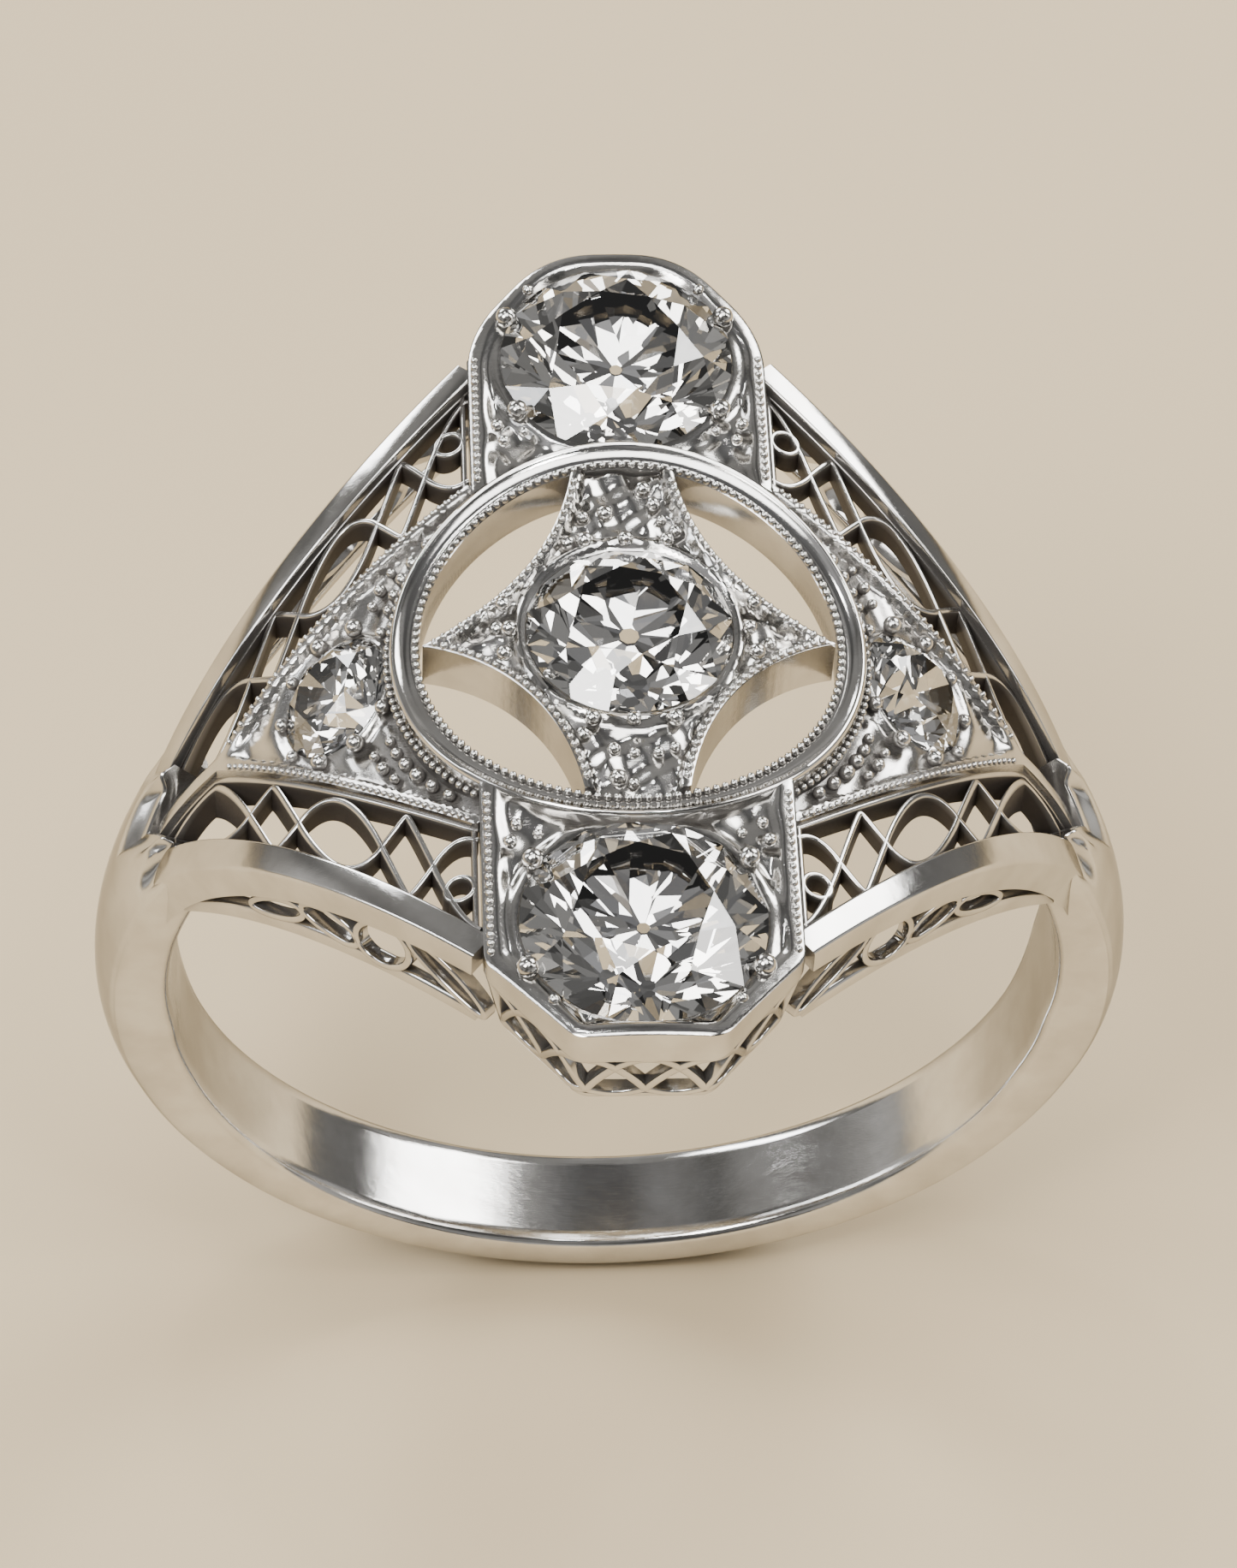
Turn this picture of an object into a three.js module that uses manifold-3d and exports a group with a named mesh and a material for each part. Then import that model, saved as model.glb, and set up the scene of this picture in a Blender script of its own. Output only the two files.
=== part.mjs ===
// White-gold filigree dress ring with three old-cut diamonds in line along the finger and one on each shoulder.
// Millimetres. The finger runs along Y through the origin and the stones are up, at +Z.
// "front" is -Y, "back" is +Y, "left" is -X and "right" is +X.

import * as THREE from 'three';
import { mergeVertices } from 'three/addons/utils/BufferGeometryUtils.js';
import Module from 'manifold-3d';

const wasm = await Module();
wasm.setup();

// Finger hole and shank
const HOLE_R = 9;
const SHANK_R = 10.65;
const SHANK_LIFT = 0.4;
const SHANK_CROWN = 0.4;
const SHANK_HALF_LOW = 1.2;
const SHANK_HALF_HIGH = 1.72;
const SHANK_END = THREE.MathUtils.degToRad(25);
const CHEEK_END = THREE.MathUtils.degToRad(31);
const RELIEF_R = 9.1;

// The head is a set of arches, each a circle in the XZ plane with its centre at the given height
const HEAD_LIFT = 0.95;
const RAIL_R = 10.05;
const RAIL_HEIGHT = 0.55;
const PLATE_R = 9.95;
const PLATE_HEIGHT = 0.7;
const LATTICE_R = 9.8;
const LATTICE_HEIGHT = 0.7;
const DOME_R = 13;
const DOME_LIFT = -1.75;
const LOWER_RAIL_R = 11.25;
const LOWER_RAIL_LIFT = -2.3;
const LOWER_RAIL_HEIGHT = 0.25;

// Plan of the head, one quadrant
const RAIL_START = new THREE.Vector2(8.98, 1.74);
const RAIL_END = new THREE.Vector2(3.01, 7.46);
const RAIL_WIDTH = 0.55;
const PLATE_TIP_X = 8;
const PLATE_CORNER = new THREE.Vector2(3.06, 4.16);
const PLATE_BULGE = 0.2;
const SPINE_HALF = 0.14;

// Centre ring, star and end bezels
const RING_INNER_R = 4.05;
const RING_OUTER_R = 4.62;
const RING_HEIGHT = 1.3;
const STAR_R = 4.02;
const STAR_HEIGHT = 1.1;
const STAR_DROP = 0.05;
const STAR_END_HALF = 1;
const STAR_WAIST = 2.5;
const BEZEL_HALF = 2.97;
const BEZEL_SIDE_Y = 7.7;
const BEZEL_END_HALF = 1.35;
const BEZEL_END_Y = 9.6;
const BEZEL_LOW = 10.45;
const BEZEL_SIDE_LOW = 10.1;
const BEZEL_WALL = 0.35;

// Open work: wire widths, where the two weaving wires of a lattice cross, and the baskets under the end bezels
const LATTICE_WIRE = 0.16;
const CROSSINGS = [2.27, 3.84, 4.81, 6.38, 7.35, 8.92];
const LATTICE_END_X = 8.9;
const GALLERY_WIRE = 0.19;
const GALLERY_PITCH = 1.22;
const GALLERY_LOW = 8.83;
const GALLERY_WALL = 0.3;
const GALLERY_LEAN = 0.0635;
const SCALLOP_RISE = 0.28;
const SCALLOP_DEPTH = 0.2;
const SIDE_WIRE = 0.17;

// Stones: girdle diameter, and the place of the girdle's centre
const END_STONE = 4.7;
const END_STONE_Y = 6.87;
const CENTER_STONE = 4;
const GIRDLE_Z = 10.95;
const SIDE_STONE = 2.6;
const SIDE_STONE_X = 5.65;
const SIDE_STONE_Z = 8.9;
const SIDE_STONE_TILT = THREE.MathUtils.degToRad(42);

// Clearance at every soldered or set joint
const GAP = 0.04;
const ROUND = 72;
const TALL = 30;

const point = (x, y) => new THREE.Vector2(x, y);

// Solids ------------------------------------------------------------------------------------------------------------

function solid(geometry) {
  const bare = geometry.clone();
  bare.deleteAttribute('normal');
  bare.deleteAttribute('uv');
  const merged = mergeVertices(bare, 1e-4);
  return new wasm.Manifold(new wasm.Mesh({
    numProp: 3,
    vertProperties: new Float32Array(merged.attributes.position.array),
    triVerts: new Uint32Array(merged.index.array),
  }));
}

function geometryOf(body) {
  const mesh = body.getMesh();
  const geometry = new THREE.BufferGeometry();
  geometry.setAttribute('position', new THREE.BufferAttribute(mesh.vertProperties, 3));
  geometry.setIndex(new THREE.BufferAttribute(mesh.triVerts, 1));
  geometry.computeVertexNormals();
  return geometry;
}

function joined(bodies) {
  return bodies.reduce((whole, body) => whole.add(body));
}

// A plan outline pushed up along Z
function prism(outline, low, high) {
  const shape = Array.isArray(outline) ? new THREE.Shape(outline) : outline;
  const geometry = new THREE.ExtrudeGeometry(shape, {
    depth: high - low,
    bevelEnabled: false,
    curveSegments: 14,
  });
  geometry.translate(0, 0, low);
  return solid(geometry);
}

// A full cylinder along the finger, its centre lifted off the finger's axis
function archOf(radius, lift) {
  const geometry = new THREE.CylinderGeometry(radius, radius, TALL, ROUND);
  geometry.translate(0, 0, lift);
  return solid(geometry);
}

function shell(radius, height, lift) {
  return archOf(radius, lift).subtract(archOf(radius - height, lift));
}

// A side-view outline (x, z) pushed through along Y
function sideCut(outline) {
  const geometry = new THREE.ExtrudeGeometry(new THREE.Shape(outline), {
    depth: TALL,
    bevelEnabled: false,
  });
  geometry.rotateX(Math.PI / 2);
  geometry.translate(0, TALL / 2, 0);
  return solid(geometry);
}

// Everything above two planes that rise to each side at an angle
function above(angle, lift) {
  const reach = TALL * Math.cos(angle);
  const rise = TALL * Math.sin(angle) + lift;
  return sideCut([
    point(0, lift),
    point(reach, rise),
    point(reach, TALL),
    point(-reach, TALL),
    point(-reach, rise),
  ]);
}

const head = above(SHANK_END, 2 * GAP);

// The same piece in another quadrant
function mirrored(geometry, signX, signY) {
  const copy = geometry.clone();
  copy.scale(signX, signY, 1);
  if (signX * signY < 0) {
    const index = copy.index.array;
    for (let i = 0; i < index.length; i += 3) {
      [index[i], index[i + 1]] = [index[i + 1], index[i]];
    }
  }
  copy.computeVertexNormals();
  return copy;
}

// Outlines ----------------------------------------------------------------------------------------------------------

function sides(points, width, closed) {
  const last = points.length - 1;
  const offset = (i, sign) => {
    const before = closed ? points[(i + last) % points.length] : points[Math.max(i - 1, 0)];
    const after = closed ? points[(i + 1) % points.length] : points[Math.min(i + 1, last)];
    const along = after.clone().sub(before).normalize();
    return points[i].clone().add(point(-along.y, along.x).multiplyScalar((sign * width) / 2));
  };
  return [points.map((_, i) => offset(i, 1)), points.map((_, i) => offset(i, -1))];
}

function ribbon(points, width) {
  const [left, right] = sides(points, width, false);
  return new THREE.Shape(left.concat(right.reverse()));
}

function closedRibbon(points, width) {
  const [inner, outer] = sides(points, width, true);
  const shape = new THREE.Shape(outer);
  shape.holes.push(new THREE.Path(inner));
  return shape;
}

function sampled(count, at) {
  return Array.from({ length: count + 1 }, (_, i) => at(i / count));
}

// The straight outer line of a rail, and the distance in y that a sideways inset takes
const railSlope = (RAIL_END.y - RAIL_START.y) / (RAIL_END.x - RAIL_START.x);
const insetInY = Math.hypot(1, railSlope);
const railLine = (x, inset) => RAIL_START.y + railSlope * (x - RAIL_START.x) - inset * insetInY;

// The edge of a shoulder plate, from its tip out to the bezel corner
function plateEdge(x) {
  const t = Math.max(0, (PLATE_TIP_X - x) / (PLATE_TIP_X - PLATE_CORNER.x));
  return SPINE_HALF + (PLATE_CORNER.y - SPINE_HALF) * t + PLATE_BULGE * 4 * t * (1 - t);
}

// Shank -------------------------------------------------------------------------------------------------------------

// A domed band, with a cheek on each side of the head where it rises past the ends of the rails
function shank() {
  const crown = sampled(6, (t) => {
    const y = SHANK_HALF_HIGH * (2 * t - 1);
    return point(SHANK_R - SHANK_CROWN * (2 * t - 1) ** 2, y);
  });
  const profile = [point(0, -SHANK_HALF_HIGH), ...crown, point(0, SHANK_HALF_HIGH)];
  const band = new THREE.LatheGeometry(profile, ROUND);
  band.translate(0, 0, SHANK_LIFT);
  const width = new THREE.Shape([
    point(-SHANK_HALF_LOW, -12),
    point(SHANK_HALF_LOW, -12),
    point(SHANK_HALF_LOW, -3),
    point(SHANK_HALF_HIGH, 5),
    point(SHANK_HALF_HIGH, 8),
    point(-SHANK_HALF_HIGH, 8),
    point(-SHANK_HALF_HIGH, 5),
    point(-SHANK_HALF_LOW, -3),
  ]);
  const envelope = new THREE.ExtrudeGeometry(width, { depth: TALL, bevelEnabled: false });
  envelope.rotateX(Math.PI / 2);
  envelope.rotateZ(Math.PI / 2);
  envelope.translate(-TALL / 2, 0, 0);
  const apexX = RAIL_START.x - railLine(RAIL_START.x, -GAP) / railSlope;
  const apexY = railLine(0, -GAP);
  const headPlan = [point(apexX, 0), point(0, apexY), point(-apexX, 0), point(0, -apexY)];
  return solid(band)
    .intersect(solid(envelope))
    .subtract(archOf(HOLE_R, 0))
    .subtract(archOf(RELIEF_R, HEAD_LIFT))
    .subtract(above(CHEEK_END, 0))
    .subtract(above(SHANK_END, 0).intersect(prism(headPlan, 0, TALL)));
}

// Rails and galleries, in the back right quadrant ------------------------------------------------------------------

function railStrip(inset, width) {
  const near = RAIL_END.x;
  const far = 10.2;
  return prism([
    point(near, railLine(near, inset + width)),
    point(far, railLine(far, inset + width)),
    point(far, railLine(far, inset)),
    point(near, railLine(near, inset)),
  ], 0, 14);
}

function rail() {
  return railStrip(0, RAIL_WIDTH)
    .intersect(shell(RAIL_R, RAIL_HEIGHT, HEAD_LIFT))
    .intersect(head);
}

function galleryRail() {
  return railStrip(0.15, 0.3)
    .intersect(shell(LOWER_RAIL_R, LOWER_RAIL_HEIGHT, LOWER_RAIL_LIFT))
    .intersect(archOf(RAIL_R - RAIL_HEIGHT - GAP, HEAD_LIFT))
    .intersect(head);
}

const archZ = (x, radius, lift) => lift + Math.sqrt(radius * radius - x * x);

// A chain of a long leaf, an oval and a small leaf that fills the gap under a rail
function sideGallery() {
  const along = point(1, railSlope).normalize();
  const placed = (s, t) => {
    const x = RAIL_END.x + s * along.x;
    const low = archZ(x, LOWER_RAIL_R, LOWER_RAIL_LIFT);
    const high = archZ(x, RAIL_R - RAIL_HEIGHT, HEAD_LIFT);
    return point(s, low + (high - low) * t);
  };
  const leaf = (centre, half, fullness, slant) => sampled(18, (t) => {
    const turn = 2 * Math.PI * t;
    const rise = fullness * Math.sin(turn) - slant * Math.cos(turn);
    return placed(centre + half * Math.cos(turn), 0.5 + rise);
  }).slice(0, -1);
  const chain = [
    leaf(0.98, 0.98, 0.24, -0.36),
    leaf(2.62, 0.68, 0.46, 0),
    leaf(4.0, 0.74, 0.3, -0.2),
    leaf(5.4, 0.7, 0.3, 0),
  ];
  const inward = new THREE.Vector3(along.y, -along.x, 0);
  const frame = new THREE.Matrix4().makeBasis(
    new THREE.Vector3(along.x, along.y, 0),
    new THREE.Vector3(0, 0, 1),
    inward,
  );
  frame.setPosition(RAIL_END.x + 0.15 * inward.x, RAIL_END.y + 0.15 * inward.y, 0);
  const wires = chain.map((loop) => {
    const geometry = new THREE.ExtrudeGeometry(closedRibbon(loop, SIDE_WIRE), {
      depth: GALLERY_WALL,
      bevelEnabled: false,
    });
    return solid(geometry.applyMatrix4(frame));
  });
  return joined(wires)
    .intersect(archOf(RAIL_R - RAIL_HEIGHT - GAP, HEAD_LIFT))
    .subtract(archOf(LOWER_RAIL_R + GAP, LOWER_RAIL_LIFT))
    .intersect(railStrip(0, 1));
}

// Filigree: two wires that weave past each other, in an edging of the same wire
function filigree() {
  const near = RAIL_END.x + GAP;
  const edge = (x, t) => {
    const low = plateEdge(x) + GAP + 0.07;
    const high = railLine(x, RAIL_WIDTH + GAP + 0.05);
    return point(x, low + (high - low) * t);
  };
  const weave = (x) => {
    const i = CROSSINGS.findIndex((end) => x < end);
    const part = (x - CROSSINGS[i - 1]) / (CROSSINGS[i] - CROSSINGS[i - 1]);
    const isEye = i % 2 === 1;
    return isEye ? 0.43 * Math.sin(Math.PI * part) : -0.5 * (1 - Math.abs(2 * part - 1));
  };
  const span = (count) => sampled(count, (t) => near + t * (LATTICE_END_X - near));
  const across = (x) => [edge(x, 0), edge(x, 1)];
  const wires = [
    span(44).map((x) => edge(x, 0.5 + weave(x))),
    span(44).map((x) => edge(x, 0.5 - weave(x))),
    span(12).map((x) => edge(x, 0)),
    span(1).map((x) => edge(x, 1)),
    across(near + 0.07),
    across(LATTICE_END_X - 0.06),
  ];
  return joined(wires.map((wire) => prism(ribbon(wire, LATTICE_WIRE), 2, 13)))
    .intersect(shell(LATTICE_R, LATTICE_HEIGHT, HEAD_LIFT))
    .intersect(head);
}

// Stones ------------------------------------------------------------------------------------------------------------

// An old-cut brilliant about Z with its girdle at the origin: small high table, open culet
function brilliant(diameter) {
  const r = diameter / 2;
  const profile = [
    point(0, -0.44 * diameter),
    point(0.05 * diameter, -0.44 * diameter),
    point(r, -0.01 * diameter),
    point(r, 0.01 * diameter),
    point(0.26 * diameter, 0.16 * diameter),
    point(0, 0.16 * diameter),
  ];
  return new THREE.LatheGeometry(profile, 16).rotateX(Math.PI / 2);
}

// The seat cut for such a stone, with a hole through below it
function seat(diameter) {
  const r = diameter / 2;
  const profile = [
    point(0, -3),
    point(0.8 * r + GAP, -3),
    point(0.8 * r + GAP, -0.19 * r),
    point(r + GAP, -0.02 * r),
    point(r + GAP, 3),
    point(0, 3),
  ];
  return new THREE.LatheGeometry(profile, 40).rotateX(Math.PI / 2);
}

// Centre ring, star, bezels and plates -------------------------------------------------------------------------------

function roundShape(radius) {
  return new THREE.Shape().absarc(0, 0, radius, 0, 2 * Math.PI);
}

function centerRing() {
  const shape = roundShape(RING_OUTER_R);
  shape.holes.push(new THREE.Path().absarc(0, 0, RING_INNER_R, 0, 2 * Math.PI));
  return prism(shape, 5, 13).intersect(shell(DOME_R, RING_HEIGHT, DOME_LIFT));
}

// A star with two sharp points across the finger and two blunt ones along it
function starPlate() {
  const reach = STAR_R - GAP;
  const blunt = Math.asin(STAR_END_HALF / reach);
  const shape = new THREE.Shape();
  const corner = point(STAR_END_HALF, reach * Math.cos(blunt));
  const middle = point((reach + corner.x) / 2, corner.y / 2);
  const control = middle.clone().multiplyScalar((2 * STAR_WAIST) / middle.length() - 1);
  shape.moveTo(reach, 0);
  shape.quadraticCurveTo(control.x, control.y, corner.x, corner.y);
  shape.absarc(0, 0, reach, Math.PI / 2 - blunt, Math.PI / 2 + blunt);
  shape.quadraticCurveTo(-control.x, control.y, -reach, 0);
  shape.quadraticCurveTo(-control.x, -control.y, -corner.x, -corner.y);
  shape.absarc(0, 0, reach, -Math.PI / 2 - blunt, -Math.PI / 2 + blunt);
  shape.quadraticCurveTo(control.x, -control.y, reach, 0);
  return prism(shape, 5, 13)
    .intersect(shell(DOME_R - STAR_DROP, STAR_HEIGHT, DOME_LIFT))
    .subtract(solid(seat(CENTER_STONE).translate(0, 0, GIRDLE_Z)));
}

// Plan of an end bezel at +Y, drawn in by an inset, its inner end square at the given y
function bezelPlan(inset, innerY) {
  const half = BEZEL_HALF - inset;
  const slant = inset * 0.42;
  return [
    point(half, innerY),
    point(half, BEZEL_SIDE_Y - slant),
    point(BEZEL_END_HALF - slant, BEZEL_END_Y - inset),
    point(-BEZEL_END_HALF + slant, BEZEL_END_Y - inset),
    point(-half, BEZEL_SIDE_Y - slant),
    point(-half, innerY),
  ];
}

function bezel() {
  const plan = bezelPlan(0, 1);
  const box = prism(plan, BEZEL_LOW, 12);
  const deep = prism(plan.map((p) => point(p.x, Math.min(p.y, RAIL_END.y))), BEZEL_SIDE_LOW, 12);
  const pocket = prism(bezelPlan(BEZEL_WALL, 1), GIRDLE_Z + 0.05, 13);
  const open = new THREE.Shape().absarc(0, 0, RING_OUTER_R + GAP, 0, 2 * Math.PI);
  return box.add(deep)
    .intersect(archOf(DOME_R, DOME_LIFT))
    .subtract(pocket)
    .subtract(prism(open, 5, 13))
    .subtract(solid(seat(END_STONE).translate(0, END_STONE_Y, GIRDLE_Z)));
}

// The basket's wall unrolled flat: interlaced arches over a row of scallops, between two thin edges
function openWork(reach, low, high) {
  const foot = low + SCALLOP_RISE;
  const crest = high - 0.06;
  const loops = Math.ceil(reach / GALLERY_PITCH);
  const strip = (bottom, top) => new THREE.Shape([
    point(-reach, bottom),
    point(reach, bottom),
    point(reach, top),
    point(-reach, top),
  ]);
  const shapes = [strip(low, low + 0.16), strip(high - 0.14, high)];
  for (let i = -loops - 1; i < loops; i += 1) {
    const arch = sampled(14, (t) => point(
      (i + 2 * t) * GALLERY_PITCH,
      foot + (crest - foot) * Math.sin(Math.PI * t),
    ));
    const scallop = sampled(6, (t) => point(
      (i + t) * GALLERY_PITCH,
      foot - SCALLOP_DEPTH * Math.sin(Math.PI * t),
    ));
    shapes.push(ribbon(arch, GALLERY_WIRE), ribbon(scallop, GALLERY_WIRE));
  }
  return geometryOf(joined(shapes.map((shape) => {
    const geometry = new THREE.ExtrudeGeometry(shape, { depth: 3, bevelEnabled: false });
    return solid(geometry.rotateX(Math.PI / 2).translate(0, 1, 0));
  })));
}

// The wedge seen from a stone's centre between two corners of its bezel, a hair wider so that neighbours join
function wedge(from, to) {
  const centre = point(0, END_STONE_Y);
  const spread = from.clone().sub(to).setLength(0.03);
  const beyond = (corner, shift) => corner.clone().add(shift).sub(centre).multiplyScalar(3).add(centre);
  return prism([centre, beyond(from, spread), beyond(to, spread.clone().negate())], 0, 14);
}

// The pierced basket under an end bezel, folded round its three outer faces
function endGallery() {
  const top = BEZEL_LOW - GAP;
  const endCorner = point(BEZEL_END_HALF, BEZEL_END_Y);
  const sideCorner = point(BEZEL_HALF, BEZEL_SIDE_Y);
  const slant = sideCorner.clone().sub(endCorner);
  const flat = openWork(BEZEL_END_HALF + slant.length() + 0.4, GALLERY_LOW, top);
  const slantTurn = Math.atan2(slant.y, slant.x);
  const slantMiddle = endCorner.clone().add(sideCorner).multiplyScalar(0.5);
  const unrolled = BEZEL_END_HALF + slant.length() / 2;
  const flip = (corner) => point(-corner.x, corner.y);
  const face = (turn, middle, along, from, to) => solid(flat.clone()
    .translate(-along, 0, 0)
    .rotateZ(turn)
    .translate(middle.x, middle.y, 0))
    .intersect(wedge(from, to));
  const post = (sign) => prism([
    point(sign * (BEZEL_HALF + 0.5), RAIL_END.y - 0.3),
    point(sign * (BEZEL_HALF + 0.5), BEZEL_SIDE_Y + 0.25),
    point(sign * (BEZEL_HALF - 0.9), BEZEL_SIDE_Y + 0.25),
    point(sign * (BEZEL_HALF - 0.9), RAIL_END.y - 0.3),
  ], GALLERY_LOW, top);
  const wall = prism(bezelPlan(0, RAIL_END.y + GAP), GALLERY_LOW, top)
    .subtract(prism(bezelPlan(GALLERY_WALL, 1), GALLERY_LOW - 1, top + 1));
  const folded = joined([
    face(0, point(0, BEZEL_END_Y), 0, endCorner, flip(endCorner)),
    face(slantTurn, slantMiddle, unrolled, sideCorner, endCorner),
    face(-slantTurn, flip(slantMiddle), -unrolled, flip(endCorner), flip(sideCorner)),
    post(1),
    post(-1),
  ]);
  return leanedIn(geometryOf(folded.intersect(wall)), top);
}

// Drawn in toward the stone's axis the further down it goes
function leanedIn(geometry, top) {
  const place = geometry.attributes.position;
  for (let i = 0; i < place.count; i += 1) {
    const inward = 1 - GALLERY_LEAN * (top - place.getZ(i));
    place.setX(i, place.getX(i) * inward);
    place.setY(i, END_STONE_Y + (place.getY(i) - END_STONE_Y) * inward);
  }
  geometry.computeVertexNormals();
  return geometry;
}

// A three-sided plate on a shoulder, with its spine running down to the shank
function shoulderPlate() {
  const edge = sampled(14, (t) => {
    const x = PLATE_CORNER.x + t * (PLATE_TIP_X - PLATE_CORNER.x);
    return point(x, plateEdge(x));
  });
  const spineEnd = 10;
  const outline = [
    point(RAIL_END.x, -PLATE_CORNER.y),
    ...edge.map((p) => point(p.x, -p.y)),
    point(spineEnd, -SPINE_HALF),
    point(spineEnd, SPINE_HALF),
    ...edge.slice().reverse(),
    point(RAIL_END.x, PLATE_CORNER.y),
  ];
  const stone = seat(SIDE_STONE)
    .rotateY(SIDE_STONE_TILT)
    .translate(SIDE_STONE_X, 0, SIDE_STONE_Z);
  return prism(outline, 2, 13)
    .intersect(shell(PLATE_R, PLATE_HEIGHT, HEAD_LIFT))
    .subtract(prism(roundShape(RING_OUTER_R + GAP), 2, 14))
    .subtract(solid(stone))
    .intersect(head);
}

// Assembly ----------------------------------------------------------------------------------------------------------

const ring = new THREE.Group();

const gold = (color, roughness) => new THREE.MeshStandardMaterial({ color, roughness, metalness: 1 });
const polished = () => gold(0xd9d6cf, 0.15);
const engraved = () => gold(0xcfccc6, 0.3);
const stoneClear = () => new THREE.MeshStandardMaterial({ color: 0xf3f1e8, roughness: 0.02, metalness: 0 });

function add(name, geometry, material) {
  const mesh = new THREE.Mesh(geometry, material);
  mesh.name = name;
  ring.add(mesh);
  return mesh;
}

add('shank', geometryOf(shank()), polished());
add('center_ring', geometryOf(centerRing()), polished());
add('star_plate', geometryOf(starPlate()), engraved());

const quarterPieces = {
  rail: [geometryOf(rail()), polished],
  gallery_rail: [geometryOf(galleryRail()), polished],
  side_gallery: [geometryOf(sideGallery()), polished],
  filigree: [geometryOf(filigree()), engraved],
};
const bezelGeometry = geometryOf(bezel());
const endGalleryGeometry = endGallery();
const plateGeometry = geometryOf(shoulderPlate());

for (const [endName, signY] of [['front', -1], ['back', 1]]) {
  add(`bezel_${endName}`, mirrored(bezelGeometry, 1, signY), polished());
  add(`end_gallery_${endName}`, mirrored(endGalleryGeometry, 1, signY), polished());
  const stone = add(`diamond_${endName}`, brilliant(END_STONE), stoneClear());
  stone.position.set(0, signY * END_STONE_Y, GIRDLE_Z);
  for (const [sideName, signX] of [['left', -1], ['right', 1]]) {
    for (const [piece, [geometry, material]] of Object.entries(quarterPieces)) {
      add(`${piece}_${endName}_${sideName}`, mirrored(geometry, signX, signY), material());
    }
  }
}

for (const [sideName, signX] of [['left', -1], ['right', 1]]) {
  add(`shoulder_plate_${sideName}`, mirrored(plateGeometry, signX, 1), engraved());
  const stone = add(`diamond_${sideName}`, brilliant(SIDE_STONE), stoneClear());
  stone.position.set(signX * SIDE_STONE_X, 0, SIDE_STONE_Z);
  stone.rotation.y = signX * SIDE_STONE_TILT;
}

const centerStone = add('diamond_center', brilliant(CENTER_STONE), stoneClear());
centerStone.position.z = GIRDLE_Z;

export default ring;
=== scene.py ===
"""White-gold filigree engagement ring on a pale floor.

Lengths inside the functions are millimetres; a piece becomes metres when its mesh is made.
The finger runs along Y, the stones are up at +Z, "front" is -Y and "left" is -X.
"""
import math

import bmesh
import bpy
import numpy as np
from mathutils import Matrix, Vector
from mathutils.geometry import delaunay_2d_cdt

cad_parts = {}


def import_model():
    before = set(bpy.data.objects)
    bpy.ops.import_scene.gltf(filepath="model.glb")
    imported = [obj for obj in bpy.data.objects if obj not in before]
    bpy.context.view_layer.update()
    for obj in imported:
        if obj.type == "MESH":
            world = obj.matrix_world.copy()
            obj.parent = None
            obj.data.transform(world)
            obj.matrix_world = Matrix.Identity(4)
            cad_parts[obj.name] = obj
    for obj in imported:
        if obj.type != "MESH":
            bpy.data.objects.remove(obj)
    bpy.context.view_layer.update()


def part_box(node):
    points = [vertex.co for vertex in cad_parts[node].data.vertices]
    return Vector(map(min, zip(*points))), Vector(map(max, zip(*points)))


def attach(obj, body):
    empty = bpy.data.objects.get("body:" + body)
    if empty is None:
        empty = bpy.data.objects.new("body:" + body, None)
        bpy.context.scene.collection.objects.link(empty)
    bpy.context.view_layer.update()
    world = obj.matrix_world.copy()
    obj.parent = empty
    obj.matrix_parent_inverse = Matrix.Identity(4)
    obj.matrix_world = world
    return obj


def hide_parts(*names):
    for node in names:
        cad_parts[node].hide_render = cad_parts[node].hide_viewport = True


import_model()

MM = 0.001


def node_box(name):
    low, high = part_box(name)
    return np.array(low) / MM, np.array(high) / MM


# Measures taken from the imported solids
SHANK_LOW, SHANK_HIGH = node_box("shank")
RING_HIGH = node_box("center_ring")[1]
BEZEL_LOW_CORNER, BEZEL_HIGH_CORNER = node_box("bezel_back")
BASKET_LOW = node_box("end_gallery_back")[0]
RAIL_LOW_CORNER, RAIL_HIGH_CORNER = node_box("rail_back_right")

# The shank and the head are arches: circles in the XZ plane, each with its radius and its centre's height.
# The finger hole is centred on the origin, and the arches with no height of their own share HEAD_LIFT.
HOLE_R, RELIEF_R = 9.0, 9.1
SHANK_R = SHANK_HIGH[0]
SHANK_LIFT = SHANK_R + SHANK_LOW[2]
SHANK_CROWN = 0.4
SHANK_HALF, SHANK_HALF_BELOW = SHANK_HIGH[1], 1.2
SHANK_END = math.radians(25)
HEAD_LIFT = 0.95
RAIL_R, RAIL_HEIGHT, RAIL_WIDTH = 10.05, 0.55, 0.55
PLATE_R, PLATE_HEIGHT = 9.95, 0.7
LATTICE_R, LATTICE_HEIGHT, LATTICE_WIRE = 9.8, 0.5, 0.11
DOME_R, DOME_LIFT = 13.0, RING_HIGH[2] - 13.0
LOWER_R, LOWER_LIFT, LOWER_HEIGHT = 11.25, -2.3, 0.25

# Plan of the head
RAIL_END = (RAIL_LOW_CORNER[0], RAIL_HIGH_CORNER[1])
RAIL_START = (8.98, 1.74)
RAIL_SLOPE = (RAIL_END[1] - RAIL_START[1]) / (RAIL_END[0] - RAIL_START[0])
PLATE_TIP_X, PLATE_CORNER, PLATE_BULGE, SPINE_HALF = 8.0, (3.06, 4.16), 0.2, 0.14
CROSSINGS = (2.27, 3.84, 4.81, 6.38, 7.35, 8.92)
RING_OUTER = RING_HIGH[0]
STAR_R, STAR_DROP, STAR_END_HALF, STAR_WAIST = 4.0, 0.05, 1.0, 2.5
BEZEL_HALF, BEZEL_END_Y = BEZEL_HIGH_CORNER[0], BEZEL_HIGH_CORNER[1]
BEZEL_SIDE_Y, BEZEL_END_HALF, BEZEL_RIM = 7.7, 1.35, 0.3
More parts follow.
